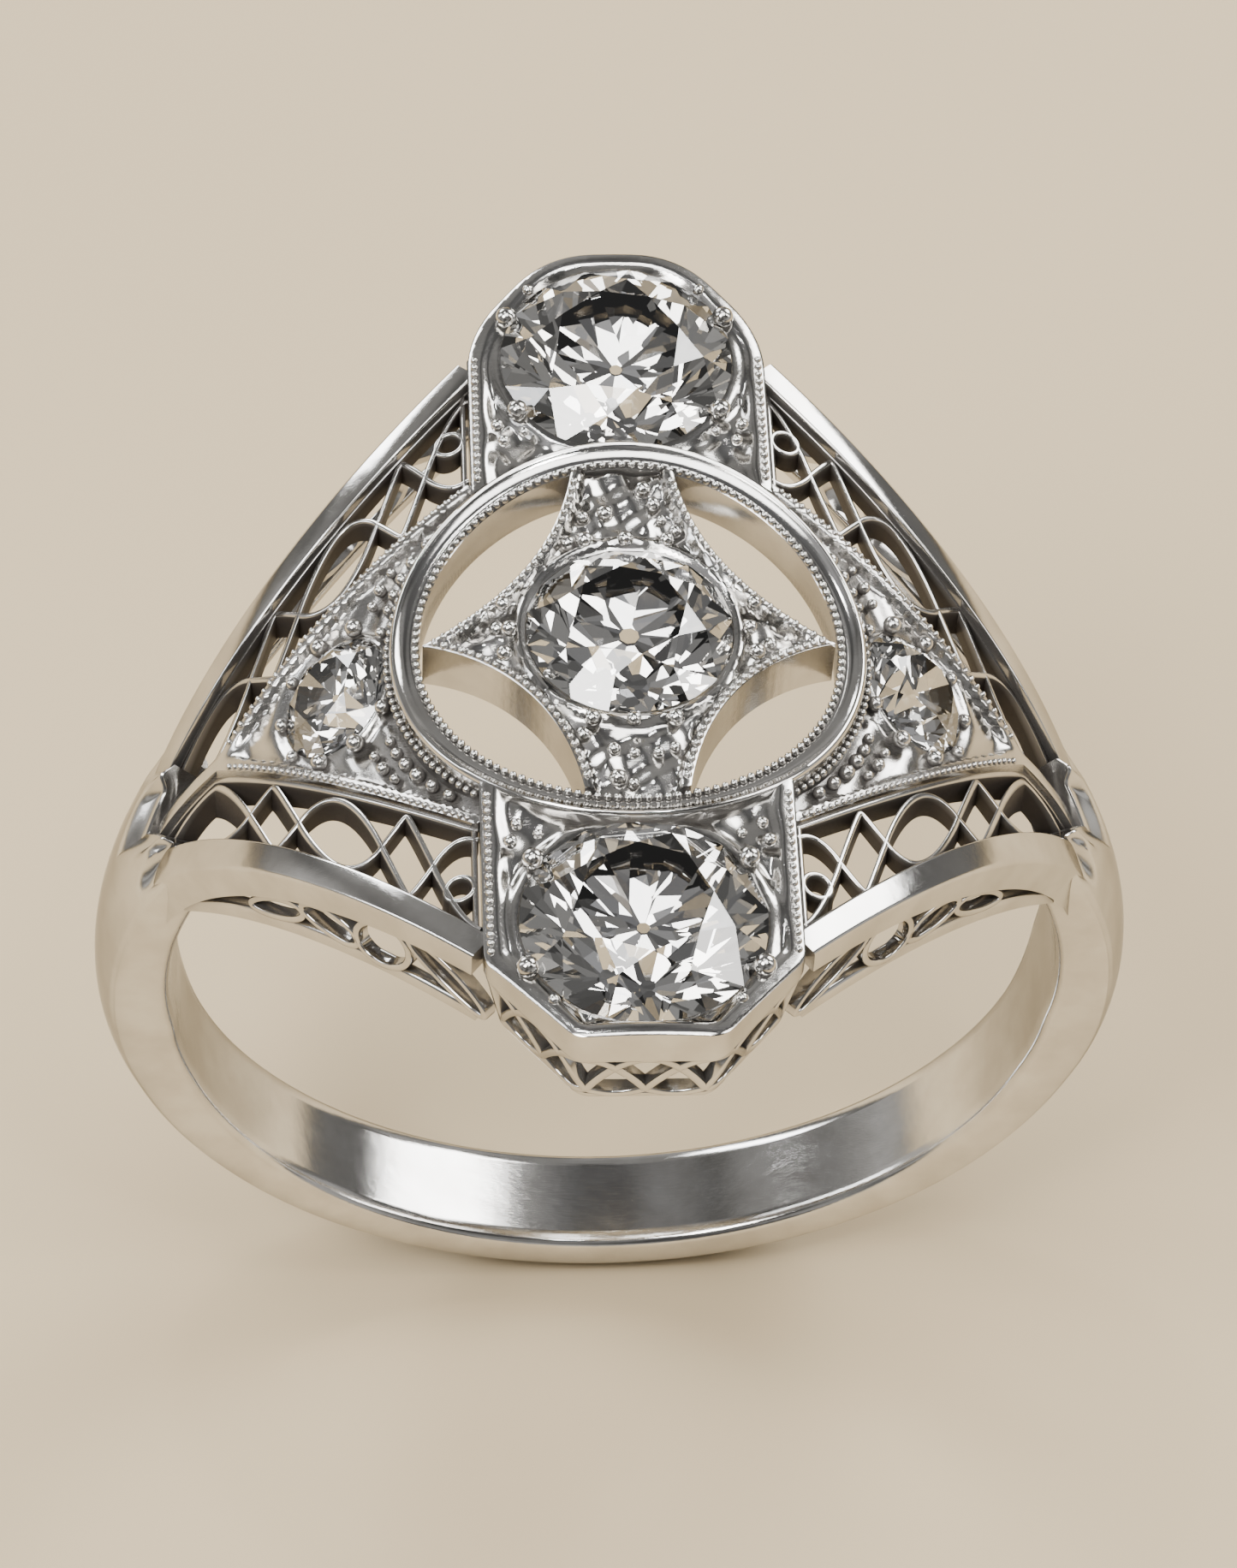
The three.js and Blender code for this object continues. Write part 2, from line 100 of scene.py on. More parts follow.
BEZEL_LOW, BEZEL_SIDE_LOW = 10.42, BEZEL_LOW_CORNER[2]
BASKET_FOOT, BASKET_WALL, BASKET_PITCH, BASKET_LEAN = BASKET_LOW[2], 0.3, 1.22, 0.0635
END_STONE_Y, GIRDLE_Z, END_STONE_R, CENTER_STONE_R = 6.87, 10.95, 2.35, 2.02
SIDE_STONE_R, SIDE_STONE_X, SIDE_STONE_Z, SIDE_TILT = 1.32, 5.63, 8.93, math.radians(42)
BEAD_PITCH = 0.19

SIDES = {"left": -1, "right": 1}
ENDS = {"front": -1, "back": 1}
CORNER_SOFTNESS = {"front": 0.25, "back": 0.95}


# Arrays -------------------------------------------------------------------------------------------

def arch(x, radius, lift):
    """Height of an arch at each x."""
    return lift + np.sqrt(radius ** 2 - np.asarray(x, float) ** 2)


def dome(x):
    """Height of the flatter arch that the ring, the star and the bezels follow."""
    return arch(x, DOME_R, DOME_LIFT)


def rail_line(x, inset=0.0):
    """Y of a line beside the outer edge of the back right rail, a given distance in from it."""
    return RAIL_START[1] + RAIL_SLOPE * (x - RAIL_START[0]) - inset * math.hypot(1, RAIL_SLOPE)


def plate_edge(x):
    """Y of the edge of the right shoulder plate: from its spine up to its corner, bulging a little."""
    t = np.clip((PLATE_TIP_X - np.asarray(x, float)) / (PLATE_TIP_X - PLATE_CORNER[0]), 0, 1)
    return SPINE_HALF + (PLATE_CORNER[1] - SPINE_HALF) * t + PLATE_BULGE * 4 * t * (1 - t)


def circle(radius, centre=(0, 0), count=96):
    """Evenly spaced plan points on a circle."""
    turn = np.linspace(0, 2 * math.pi, count, endpoint=False)
    return np.c_[radius * np.cos(turn) + centre[0], radius * np.sin(turn) + centre[1]]


def unit(v):
    return v / np.maximum(np.linalg.norm(v, axis=-1, keepdims=True), 1e-12)


def smooth(t):
    """A soft step from 0 to 1."""
    t = np.clip(t, 0, 1)
    return t * t * (3 - 2 * t)


def spaced(points, step, closed=False):
    """The same line with its points a given step apart."""
    points = np.asarray(points, float)
    if closed:
        points = np.vstack([points, points[:1]])
    lengths = np.r_[0, np.cumsum(np.linalg.norm(np.diff(points, axis=0), axis=1))]
    count = max(2, int(round(lengths[-1] / step)))
    at = np.linspace(0, lengths[-1], count + 1)
    found = np.stack([np.interp(at, lengths, points[:, k]) for k in range(points.shape[1])], 1)
    return found[:-1] if closed else found


def tangents(points, closed):
    """Direction of a line at each of its points."""
    if closed:
        return unit(np.roll(points, -1, 0) - np.roll(points, 1, 0))
    return unit(np.gradient(points, axis=0))


def distance_to(points, line, closed=False):
    """Distance from each plan point to a polyline."""
    a = np.asarray(line, float)
    b = np.roll(a, -1, 0) if closed else a[1:]
    a = a if closed else a[:-1]
    ab = b - a
    best = np.full(len(points), 1e9)
    for start in range(0, len(points), 2000):
        p = points[start:start + 2000, None]
        t = np.clip(((p - a) * ab).sum(-1) / np.maximum((ab ** 2).sum(-1), 1e-12), 0, 1)
        gap = np.linalg.norm(p - (a + t[..., None] * ab), axis=-1)
        best[start:start + 2000] = gap.min(1)
    return best


def inside(points, polygon):
    """Which plan points lie in a polygon."""
    x, y = points[:, 0], points[:, 1]
    found = np.zeros(len(points), bool)
    polygon = np.asarray(polygon, float)
    for (x0, y0), (x1, y1) in zip(polygon, np.roll(polygon, -1, 0)):
        crosses = (y0 > y) != (y1 > y)
        with np.errstate(divide="ignore", invalid="ignore"):
            found ^= crosses & (x < (x1 - x0) * (y - y0) / (y1 - y0) + x0)
    return found


# Mesh making --------------------------------------------------------------------------------------

class Build:
    """Vertices and faces of one piece, in millimetres."""

    def __init__(self):
        self.verts, self.faces, self.count = [], [], 0

    def add(self, verts, faces):
        self.verts.append(np.asarray(verts, float).reshape(-1, 3))
        self.faces.extend(tuple(int(i) + self.count for i in face) for face in faces)
        self.count += len(self.verts[-1])

    def mirrored(self, sign_x=1, sign_y=1):
        """The same piece on the other side, with its faces still turned outward."""
        copy = Build()
        copy.verts = [v * (sign_x, sign_y, 1) for v in self.verts]
        flip = sign_x * sign_y < 0
        copy.faces = [face[::-1] if flip else face for face in self.faces]
        copy.count = self.count
        return copy

    def make(self, name, material, slot, node, flat=False):
        """Turns the piece into an object that stands in for a CAD node."""
        mesh = bpy.data.meshes.new(name)
        mesh.from_pydata((np.vstack(self.verts) * MM).tolist(), [], self.faces)
        bm = bmesh.new()
        bm.from_mesh(mesh)
        bmesh.ops.recalc_face_normals(bm, faces=bm.faces)
        bm.to_mesh(mesh)
        bm.free()
        if not flat:
            mesh.shade_smooth()
            mesh.set_sharp_from_angle(angle=math.radians(40))
        mesh.materials.append(material)
        made = bpy.data.objects.new(name, mesh)
        bpy.context.scene.collection.objects.link(made)
        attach(made, "root")
        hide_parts(node)


def loft(build, rings, closed=False, capped=True):
    """Joins rows of points, each a closed section, and caps the ends of an open one."""
    rings = np.asarray(rings, float)
    n, k = rings.shape[:2]
    faces = []
    for i in range(n if closed else n - 1):
        j = (i + 1) % n
        for a in range(k):
            b = (a + 1) % k
            faces.append((i * k + a, i * k + b, j * k + b, j * k + a))
    if capped and not closed:
        faces.append(tuple(range(k))[::-1])
        faces.append(tuple((n - 1) * k + a for a in range(k)))
    build.add(rings.reshape(-1, 3), faces)


def wall(build, plan, width, radius, height, lift=HEAD_LIFT, soft=0.045, closed=False, steps=3):
    """An upright strip over a plan line, between two arches, with rounded top edges."""
    plan = np.asarray(plan, float)
    along = tangents(plan, closed)
    side = np.stack([-along[:, 1], along[:, 0]], 1)
    half = width / 2
    offsets, drops = [], []
    for k in range(steps + 1):
        turn = math.pi / 2 * k / steps
        offsets.append(half - soft + soft * math.cos(turn))
        drops.append(-soft + soft * math.sin(turn))
    offsets, drops = offsets + [-v for v in offsets[::-1]], drops + drops[::-1]
    rows = []
    for offset, drop in zip(offsets, drops):
        xy = plan + side * offset
        rows.append(np.c_[xy, arch(xy[:, 0], radius, lift) + drop])
    for offset in (-half, half):
        xy = plan + side * offset
        rows.append(np.c_[xy, arch(xy[:, 0], radius - height, lift)])
    loft(build, np.stack(rows, 1), closed)


def band(build, path, normal, width, depth, soft=0.04, closed=False, steps=3):
    """A flat wire whose face looks along normal, of the given width across and depth behind that face."""
    path = np.asarray(path, float)
    normal = np.broadcast_to(np.asarray(normal, float), path.shape)
    across = unit(np.cross(tangents(path, closed), normal))
    half = width / 2
    section = []
    for k in range(steps + 1):
        turn = math.pi / 2 * k / steps
        section.append((half - soft + soft * math.cos(turn), -soft + soft * math.sin(turn)))
    section += [(-s, d) for s, d in section[::-1]]
    section += [(-half, -depth), (half, -depth)]
    rings = np.stack([path + across * s + normal * d for s, d in section], 1)
    loft(build, rings, closed)


def ball():
    bm = bmesh.new()
    bmesh.ops.create_icosphere(bm, subdivisions=2, radius=1)
    verts = np.array([v.co for v in bm.verts])
    faces = [tuple(v.index for v in face.verts) for face in bm.faces]
    bm.free()
    return verts, faces


BALL_VERTS, BALL_FACES = ball()


def beads(build, points, radius, seed=1):
    """Small balls, each a little different in size as a hand tool leaves them."""
    chance = np.random.default_rng(seed)
    for point in np.asarray(points, float).reshape(-1, 3):
        build.add(BALL_VERTS * radius * chance.uniform(0.88, 1.08) + point, BALL_FACES)


def plate(build, outer, holes, top, low, step):
    """A solid over a plan region with any relief: top(points) and low(points) give its heights.

    A row of points close inside every outline keeps the edges of the relief crisp.
    """
    edge = 0.035
    loops = [spaced(loop, step * 0.8, True) for loop in (outer, *holes)]
    chance = np.random.default_rng(7)

    def clear(points):
        keep = inside(points, loops[0])
        for hole in loops[1:]:
            keep &= ~inside(points, hole)
        return points[keep]

    taken = []
    for loop in loops:
        along = tangents(loop, True)
        for sign in (1, -1):
            shifted = clear(loop + sign * edge * np.stack([-along[:, 1], along[:, 0]], 1))
            if len(shifted):
                gap = np.min([distance_to(shifted, other, True) for other in loops], 0)
                taken.append(shifted[gap > edge * 0.97])
    taken = np.vstack(taken)
    lo, hi = loops[0].min(0), loops[0].max(0)
    grid_x, grid_y = np.meshgrid(np.arange(lo[0], hi[0], step), np.arange(lo[1], hi[1], step * 0.87))
    grid_x[1::2] += step / 2
    grid = np.c_[grid_x.ravel(), grid_y.ravel()]
    grid = clear(grid + chance.uniform(-0.04, 0.04, grid.shape) * step)
    gap = np.min([distance_to(grid, loop, True) for loop in loops], 0)
    grid = grid[gap > edge + 0.4 * step]
    near = np.full(len(grid), 1e9)
    for start in range(0, len(grid), 1000):
        d = np.linalg.norm(grid[start:start + 1000, None] - taken[None], axis=-1)
        near[start:start + 1000] = d.min(1)
    grid = grid[near > 0.45 * step]
    points = np.vstack(loops + [taken, grid])
    constraints, first = [], 0
    for loop in loops:
        n = len(loop)
        constraints += [(first + i, first + (i + 1) % n) for i in range(n)]
        first += n
    made = delaunay_2d_cdt([Vector(p) for p in points], constraints, [], 0, 1e-6)
    xy = np.array([tuple(v) for v in made[0]])
    faces = np.array([tuple(f) for f in made[2]])
    middle = xy[faces].mean(1)
    keep = inside(middle, loops[0])
    for hole in loops[1:]:
        keep &= ~inside(middle, hole)
    faces = faces[keep]
    used = np.unique(faces)
    renumber = np.full(len(xy), -1)
    renumber[used] = np.arange(len(used))
    xy, faces = xy[used], renumber[faces]
    n = len(xy)
    turn = np.cross(xy[faces[:, 1]] - xy[faces[:, 0]], xy[faces[:, 2]] - xy[faces[:, 0]])
    faces[turn < 0] = faces[turn < 0][:, ::-1]
    used_edges = dict.fromkeys((p, q) for a, b, c in faces for p, q in ((a, b), (b, c), (c, a)))
    outline = [(p, q) for p, q in used_edges if (q, p) not in used_edges]
    solid = [tuple(f) for f in faces] + [tuple(f[::-1] + n) for f in faces]
    solid += [(q, p, p + n, q + n) for p, q in outline]
    build.add(np.vstack([np.c_[xy, top(xy)], np.c_[xy, low(xy)]]), solid)


# Materials ----------------------------------------------------------------------------------------

def new_material(name):
    made = bpy.data.materials.new(name)
    made.use_nodes = True
    nodes = made.node_tree.nodes
    nodes.clear()
    out = nodes.new("ShaderNodeOutputMaterial")
    shader = nodes.new("ShaderNodeBsdfPrincipled")
    made.node_tree.links.new(shader.outputs[0], out.inputs["Surface"])
    return made, made.node_tree, shader


def add_node(tree, kind, **values):
    node = tree.nodes.new(kind)
    for key, value in values.items():
        if key in node.inputs:
            node.inputs[key].default_value = value
        else:
            setattr(node, key, value)
    return node


def noise(tree, position, scale, detail=3.0, roughness=0.5):
    made = add_node(tree, "ShaderNodeTexNoise", Scale=scale, Detail=detail, Roughness=roughness)
    tree.links.new(position, made.inputs["Vector"])
    return made.outputs["Fac"]


def ranged(tree, value, low, high, to_low, to_high):
    made = add_node(tree, "ShaderNodeMapRange")
    for index, number in enumerate((low, high, to_low, to_high), 1):
        made.inputs[index].default_value = number
    tree.links.new(value, made.inputs[0])
    return made.outputs[0]


def mixed(tree, factor, first, second):
    made = add_node(tree, "ShaderNodeMix", data_type="RGBA")
    tree.links.new(factor, made.inputs[0])
    for socket, value in ((made.inputs[6], first), (made.inputs[7], second)):
        if isinstance(value, tuple):
            socket.default_value = (*value, 1)
        else:
            tree.links.new(value, socket)
    return made.outputs[2]


def combined(tree, operation, first, second):
    made = add_node(tree, "ShaderNodeMath", operation=operation)
    tree.links.new(first, made.inputs[0])
    if isinstance(second, (int, float)):
        made.inputs[1].default_value = second
    else:
        tree.links.new(second, made.inputs[1])
    return made.outputs[0]


def white_gold(name, rough, patina, reach, scratch, sides=0.0, deep=0.9):
    """Worn white gold: fine scratches, soft dents, dark patina in small hollows, and painted shade in wide
    hollows and on the sides of wires.

    The patina is up to patina strong within reach millimetres of another surface. The painted shade, which
    stands in for the shadow inside the head, is up to deep strong in wide hollows and up to sides strong on
    upright faces.
    """
    made, tree, shader = new_material(name)
    place = add_node(tree, "ShaderNodeTexCoord").outputs["Object"]
    cloud = noise(tree, place, 900, 4)
    stretched = add_node(tree, "ShaderNodeMapping")
    stretched.inputs["Scale"].default_value = (1.0, 14.0, 9.0)
    stretched.inputs["Rotation"].default_value = (0.5, 0.3, 0.6)
    tree.links.new(place, stretched.inputs["Vector"])
    lines = noise(tree, stretched.outputs[0], 2400, 5, 0.7)
    dents = noise(tree, place, 1500, 2)
    near = add_node(tree, "ShaderNodeAmbientOcclusion", samples=4)
    near.inputs["Distance"].default_value = reach * MM
    wide = add_node(tree, "ShaderNodeAmbientOcclusion", samples=4)
    wide.inputs["Distance"].default_value = 3.0 * MM
    # Near occlusion paints patina into small hollows; wide occlusion paints shade into the wide hollows
    # inside the head, where shadow falls.
    patina_and_painted_shade = combined(tree, "MAXIMUM", ranged(tree, near.outputs["AO"], 0.25, 0.9, patina, 0.0),
                     ranged(tree, wide.outputs["AO"], 0.2, 0.62, deep, 0.0))
    # Upright faces are painted darker than faces turned up: painted shade for light that falls from above.
    if sides:
        split = add_node(tree, "ShaderNodeSeparateXYZ")
        tree.links.new(add_node(tree, "ShaderNodeNewGeometry").outputs["Normal"], split.inputs[0])
        patina_and_painted_shade = combined(tree, "MAXIMUM", patina_and_painted_shade, ranged(tree, split.outputs["Z"], 0.1, 0.5, sides, 0.0))
    clouded = ranged(tree, cloud, 0.35, 0.65, 0.0, 1.0)
    bright = mixed(tree, clouded, (0.63, 0.615, 0.59), (0.74, 0.73, 0.71))
    # The dark colour is the patina in small hollows and the painted shade in wide hollows and on upright
    # faces.
    tree.links.new(mixed(tree, patina_and_painted_shade, bright, (0.03, 0.023, 0.018)), shader.inputs["Base Color"])
    # Where the patina and the painted shade lie, the metal is also made less metallic and rougher, so it
    # reflects less.
    tree.links.new(ranged(tree, patina_and_painted_shade, 0.45, 0.95, 1.0, 0.1), shader.inputs["Metallic"])
    shader.inputs["Specular IOR Level"].default_value = 0.2
    shader.inputs["Specular Tint"].default_value = (0.55, 0.54, 0.52, 1)
    wear = ranged(tree, lines, 0.4, 0.75, rough * 0.7, rough * 1.9)
    dull = ranged(tree, patina_and_painted_shade, 0.2, 1.0, 0.0, 0.4)
    tree.links.new(combined(tree, "ADD", wear, dull), shader.inputs["Roughness"])
    fine = add_node(tree, "ShaderNodeBump", Strength=scratch)
    fine.inputs["Distance"].default_value = 0.004 * MM
    tree.links.new(lines, fine.inputs["Height"])
    broad = add_node(tree, "ShaderNodeBump", Strength=0.5)
    broad.inputs["Distance"].default_value = 0.012 * MM
    tree.links.new(dents, broad.inputs["Height"])
    tree.links.new(fine.outputs[0], broad.inputs["Normal"])
    tree.links.new(broad.outputs[0], shader.inputs["Normal"])
    return made


def old_diamond(name, tint):
    """Clear diamond with faint clouds of a warm tint."""
    made, tree, shader = new_material(name)
    place = add_node(tree, "ShaderNodeTexCoord").outputs["Object"]
    cloud = ranged(tree, noise(tree, place, 700, 2), 0.4, 0.6, 0.0, 1.0)
    tree.links.new(mixed(tree, cloud, tint, (1.0, 1.0, 1.0)), shader.inputs["Base Color"])
    shader.inputs["Roughness"].default_value = 0.0
    shader.inputs["IOR"].default_value = 2.417
    shader.inputs["Transmission Weight"].default_value = 1.0
    return made


# Each metal paints shade into its wide hollows, up to 0.9 strong, and the bright-cut metal only up to 0.2.
POLISHED = white_gold("polished_white_gold", 0.07, 0.75, 0.5, 0.25)
SHANK_GOLD = white_gold("worn_white_gold", 0.09, 0.5, 0.4, 0.4)
BRIGHT = white_gold("bright_cut_white_gold", 0.09, 0.6, 0.3, 0.4, deep=0.2)
ENGRAVED = white_gold("engraved_white_gold", 0.14, 0.85, 0.35, 0.5)
# The wire's upright walls are painted almost black: painted shade for the dark inside of the head.
WIRE = white_gold("drawn_white_gold_wire", 0.1, 0.95, 0.35, 0.4, sides=0.98)
DIAMOND = old_diamond("old_cut_diamond", (0.995, 0.985, 0.95))


# Shank --------------------------------------------------------------------------------------------

def shank_end(y):
    """X where the band ends at each distance from its middle: round the end of each rail and past it."""
    y = np.abs(y)
    rail_foot, reach = 9.06, RAIL_WIDTH / 2
    centre = rail_line(rail_foot, reach)
    beside_rail = RAIL_START[0] + (y - RAIL_START[1]) / RAIL_SLOPE
    round_rail = rail_foot + np.sqrt(np.maximum(reach ** 2 - (y - centre) ** 2, 0))
    to_spine = rail_foot + 0.66 * (1 - y / (centre - reach))
    zones = [y < centre - reach, y < centre + 0.75 * reach]
    return np.select(zones, [to_spine, round_rail], beside_rail)


def shank():
    """A domed band that widens upward, with ends shaped to the rails and let down for the spines."""
    columns = np.sin(np.linspace(-1, 1, 141) * math.pi / 2)
    last = np.full(len(columns), SHANK_END)
    for _ in range(8):
        outer = SHANK_LIFT * np.sin(last) + SHANK_R - SHANK_CROWN * columns ** 2
        last = np.arccos(np.clip(shank_end(columns * SHANK_HALF) / outer, -1, 1))
    near_end = 1 - np.linspace(1, 0, 60) ** 1.6 * 0.16
    steps = np.r_[-near_end[::-1], np.linspace(-0.84, 0.84, 121)[1:-1], near_end]

    rings = []
    for step in steps:
        # Each row runs at its own angle round the finger, so that all rows reach the end together
        turn = -math.pi / 2 + step * (math.pi / 2 + last)
        up, out = np.sin(turn), np.cos(turn)
        outer = SHANK_LIFT * up + np.sqrt(SHANK_R ** 2 - (SHANK_LIFT * out) ** 2)
        relief = HEAD_LIFT * up + np.sqrt(RELIEF_R ** 2 - (HEAD_LIFT * out) ** 2)
        inner = np.maximum(HOLE_R, relief)
        widening = np.clip((SHANK_R * up + 3) / 8, 0, 1)
        half = SHANK_HALF_BELOW + (SHANK_HALF - SHANK_HALF_BELOW) * widening
        y = columns * (half - 0.02)
        from_middle = np.abs(y)
        to_end = (last - np.abs(turn + math.pi / 2) + math.pi / 2) * SHANK_R
        top = outer - SHANK_CROWN * columns ** 2 - 0.04 * smooth((from_middle - half + 0.16) / 0.14)
        top = top - 0.3 * (1 - smooth(to_end / 1.1)) * (1 - smooth((from_middle - 0.55) / 0.3))
        rail_top = HEAD_LIFT * up + np.sqrt(RAIL_R ** 2 - (HEAD_LIFT * out) ** 2) - 0.02
        step_down = np.maximum(top - rail_top, 0) * (1 - smooth((to_end - 0.03) / 0.75))
        top = top - step_down * smooth((from_middle - 0.7) / 0.35)
        top = top - 0.05 * (1 - smooth(to_end / 0.06))
        upper = np.stack([top * out, y, top * up], 1)
        lower = np.stack([inner * out, columns * (half - 0.35), inner * up], 1)[::-1]
        sides = []
        for k in (-1, 0):
            edge = outer[k] - SHANK_CROWN
            side = [(half[k], edge - 0.12), (half[k], edge - 0.3), (half[k], inner[k] + 0.2),
                    (half[k] - 0.04, inner[k] + 0.09), (half[k] - 0.14, inner[k] + 0.02)]
            side = side if k == -1 else [(-w, r) for w, r in side[::-1]]
            sides.append([(r * out[k], w, r * up[k]) for w, r in side])
        rings.append(np.vstack([upper, sides[0], lower, sides[1]]))
    rings = np.array(rings)
    build = Build()
    loft(build, rings, capped=False)
    # The ends are hollowed, so each is closed by strips that join its upper points to its lower ones
    count, wide = rings.shape[1], len(columns)
    for first, flip in ((0, False), ((len(rings) - 1) * count, True)):
        faces = [(a, a + 1, 2 * wide + 3 - a, 2 * wide + 4 - a) for a in range(wide - 1)]
        faces.append(tuple(range(wide - 1, wide + 6)))
        faces.append((*range(2 * wide + 4, count), 0))
        build.faces.extend(tuple(first + i for i in (face[::-1] if flip else face)) for face in faces)
    return build


# Head: rails, galleries and lattices, made in the back right quadrant -----------------------------

def rail():
    """A flat edge rail from the bezel's corner down to the shank."""
    x = np.linspace(RAIL_END[0] - 0.02, 9.45, 61)
    plan = np.c_[x, rail_line(x, RAIL_WIDTH / 2)]
    build = Build()
    wall(build, plan, RAIL_WIDTH, RAIL_R, RAIL_HEIGHT, soft=0.07, steps=4)
    return build


def gallery_rail():
    """The thin rail under the side gallery, which follows the finger hole."""
    x = np.linspace(RAIL_END[0] - 0.02, 8.6, 49)
    build = Build()
    wall(build, np.c_[x, rail_line(x, 0.28)], 0.26, LOWER_R, LOWER_HEIGHT, LOWER_LIFT, soft=0.08, steps=4)
    return build


def side_gallery():
    """A long leaf, an oval, a small leaf and a sliver, bent from flat wire, under each rail."""
    along = unit(np.array([1, RAIL_SLOPE]))
    outward = np.array([-along[1], along[0], 0.0])
    outward = outward if outward[1] > 0 else -outward

    def placed(s, t):
        x = RAIL_END[0] + s * along[0]
        low = arch(x, LOWER_R, LOWER_LIFT) - 0.04
        high = arch(x, RAIL_R - RAIL_HEIGHT, HEAD_LIFT) + 0.05
        y = RAIL_END[1] + s * along[1]
        return np.stack([x, y, low + (high - low) * t], 1) - outward * 0.1

    build = Build()
    turn = np.linspace(0, 2 * math.pi, 60, endpoint=False)
    for centre, half, fullness, slant in ((0.98, 0.98, 0.22, -0.38), (2.62, 0.68, 0.47, 0.0),
                                          (4.0, 0.74, 0.28, -0.22), (5.4, 0.7, 0.3, 0.0)):
        s = np.maximum(centre + half * np.cos(turn), 0.02)
        t = np.clip(0.5 + fullness * np.sin(turn) - slant * np.cos(turn), 0, 1)
        band(build, placed(s, t), outward, 0.15, 0.28, soft=0.045, closed=True)
    return build


def filigree():
    """Two wires weaving past each other between two edging wires, ended by a loop near the bezel."""
    near, far = RAIL_END[0] - 0.02, CROSSINGS[-1]
    last = (CROSSINGS[-2] + far) / 2

    def across(x, t):
        """Plan points at x, with t from 0 at the shoulder plate to 1 at the rail."""
        low = plate_edge(x) + 0.03
        high = rail_line(x, RAIL_WIDTH - 0.02)
        return np.stack([x, low + (high - low) * t], 1)

    def weave(x):
        """How far the wires are from the middle: round eyes and pointed lozenges by turns."""
        i = np.clip(np.searchsorted(CROSSINGS, x, side="right"), 1, len(CROSSINGS) - 1)
        starts, ends = np.array(CROSSINGS)[i - 1], np.array(CROSSINGS)[i]
        part = (x - starts) / (ends - starts)
        eye = 0.41 * np.sin(math.pi * part) ** 0.85
        lozenge = -0.47 * (1 - np.sqrt((2 * part - 1) ** 2 + 0.008))
        return np.where(i % 2 == 1, eye, lozenge)

    turn = np.linspace(math.pi / 2, 0, 24)[1:]
    x = np.r_[np.linspace(near, last, 150), last + (far - last) * np.cos(turn)]
    rise = np.r_[weave(x[:150]), 0.41 * np.sin(turn)]
    coarse = np.linspace(near, far + 0.25, 60)
    wires = [across(x, 0.5 + rise), across(x, 0.5 - rise), across(coarse, 0.0), across(coarse, 1.0)]
    wires.append(across(np.full(12, near + 0.08), np.linspace(0, 1, 12)))
    build = Build()
    for wire in wires:
        wall(build, wire, LATTICE_WIRE, LATTICE_R, LATTICE_HEIGHT)
    loop = across(np.array([3.36]), np.array([0.62]))[0] + circle(0.27, count=32)
    wall(build, loop, 0.1, LATTICE_R, LATTICE_HEIGHT, soft=0.04, closed=True)
    tip = across(np.array([far + 0.12]), np.array([0.42]))
    beads(build, np.c_[tip, arch(tip[:, 0], LATTICE_R, HEAD_LIFT) - 0.03], 0.11)
    return build


# Stones -------------------------------------------------------------------------------------------

def polar(radius, degrees, height):
    """A point at a radius and an angle round the Z axis."""
    a = math.radians(degrees)
    return np.array([radius * math.cos(a), radius * math.sin(a), height])


def clipped(faces, point, normal):
    """The part of a convex solid, given as a list of face loops, that lies behind a plane."""
    near = 1e-7
    kept, rim = [], []
    for face in faces:
        heights = (face - point) @ normal
        loop = []
        for a, b, high, next_high in zip(face, np.roll(face, -1, 0), heights, np.roll(heights, -1)):
            if high <= near:
                loop.append(a)
            if (high < -near and next_high > near) or (high > near and next_high < -near):
                loop.append(a + (b - a) * high / (high - next_high))
                rim.append(loop[-1])
            elif abs(high) <= near:
                rim.append(a)
        if len(loop) > 2:
            kept.append(np.array(loop))
    if len(rim) > 2:
        rim = np.unique(np.round(rim, 6), axis=0)
        middle = rim.mean(0)
        first = unit(rim[0] - middle)
        second = np.cross(normal, first)
        kept.append(rim[np.argsort(np.arctan2((rim - middle) @ second, (rim - middle) @ first))])
    return kept


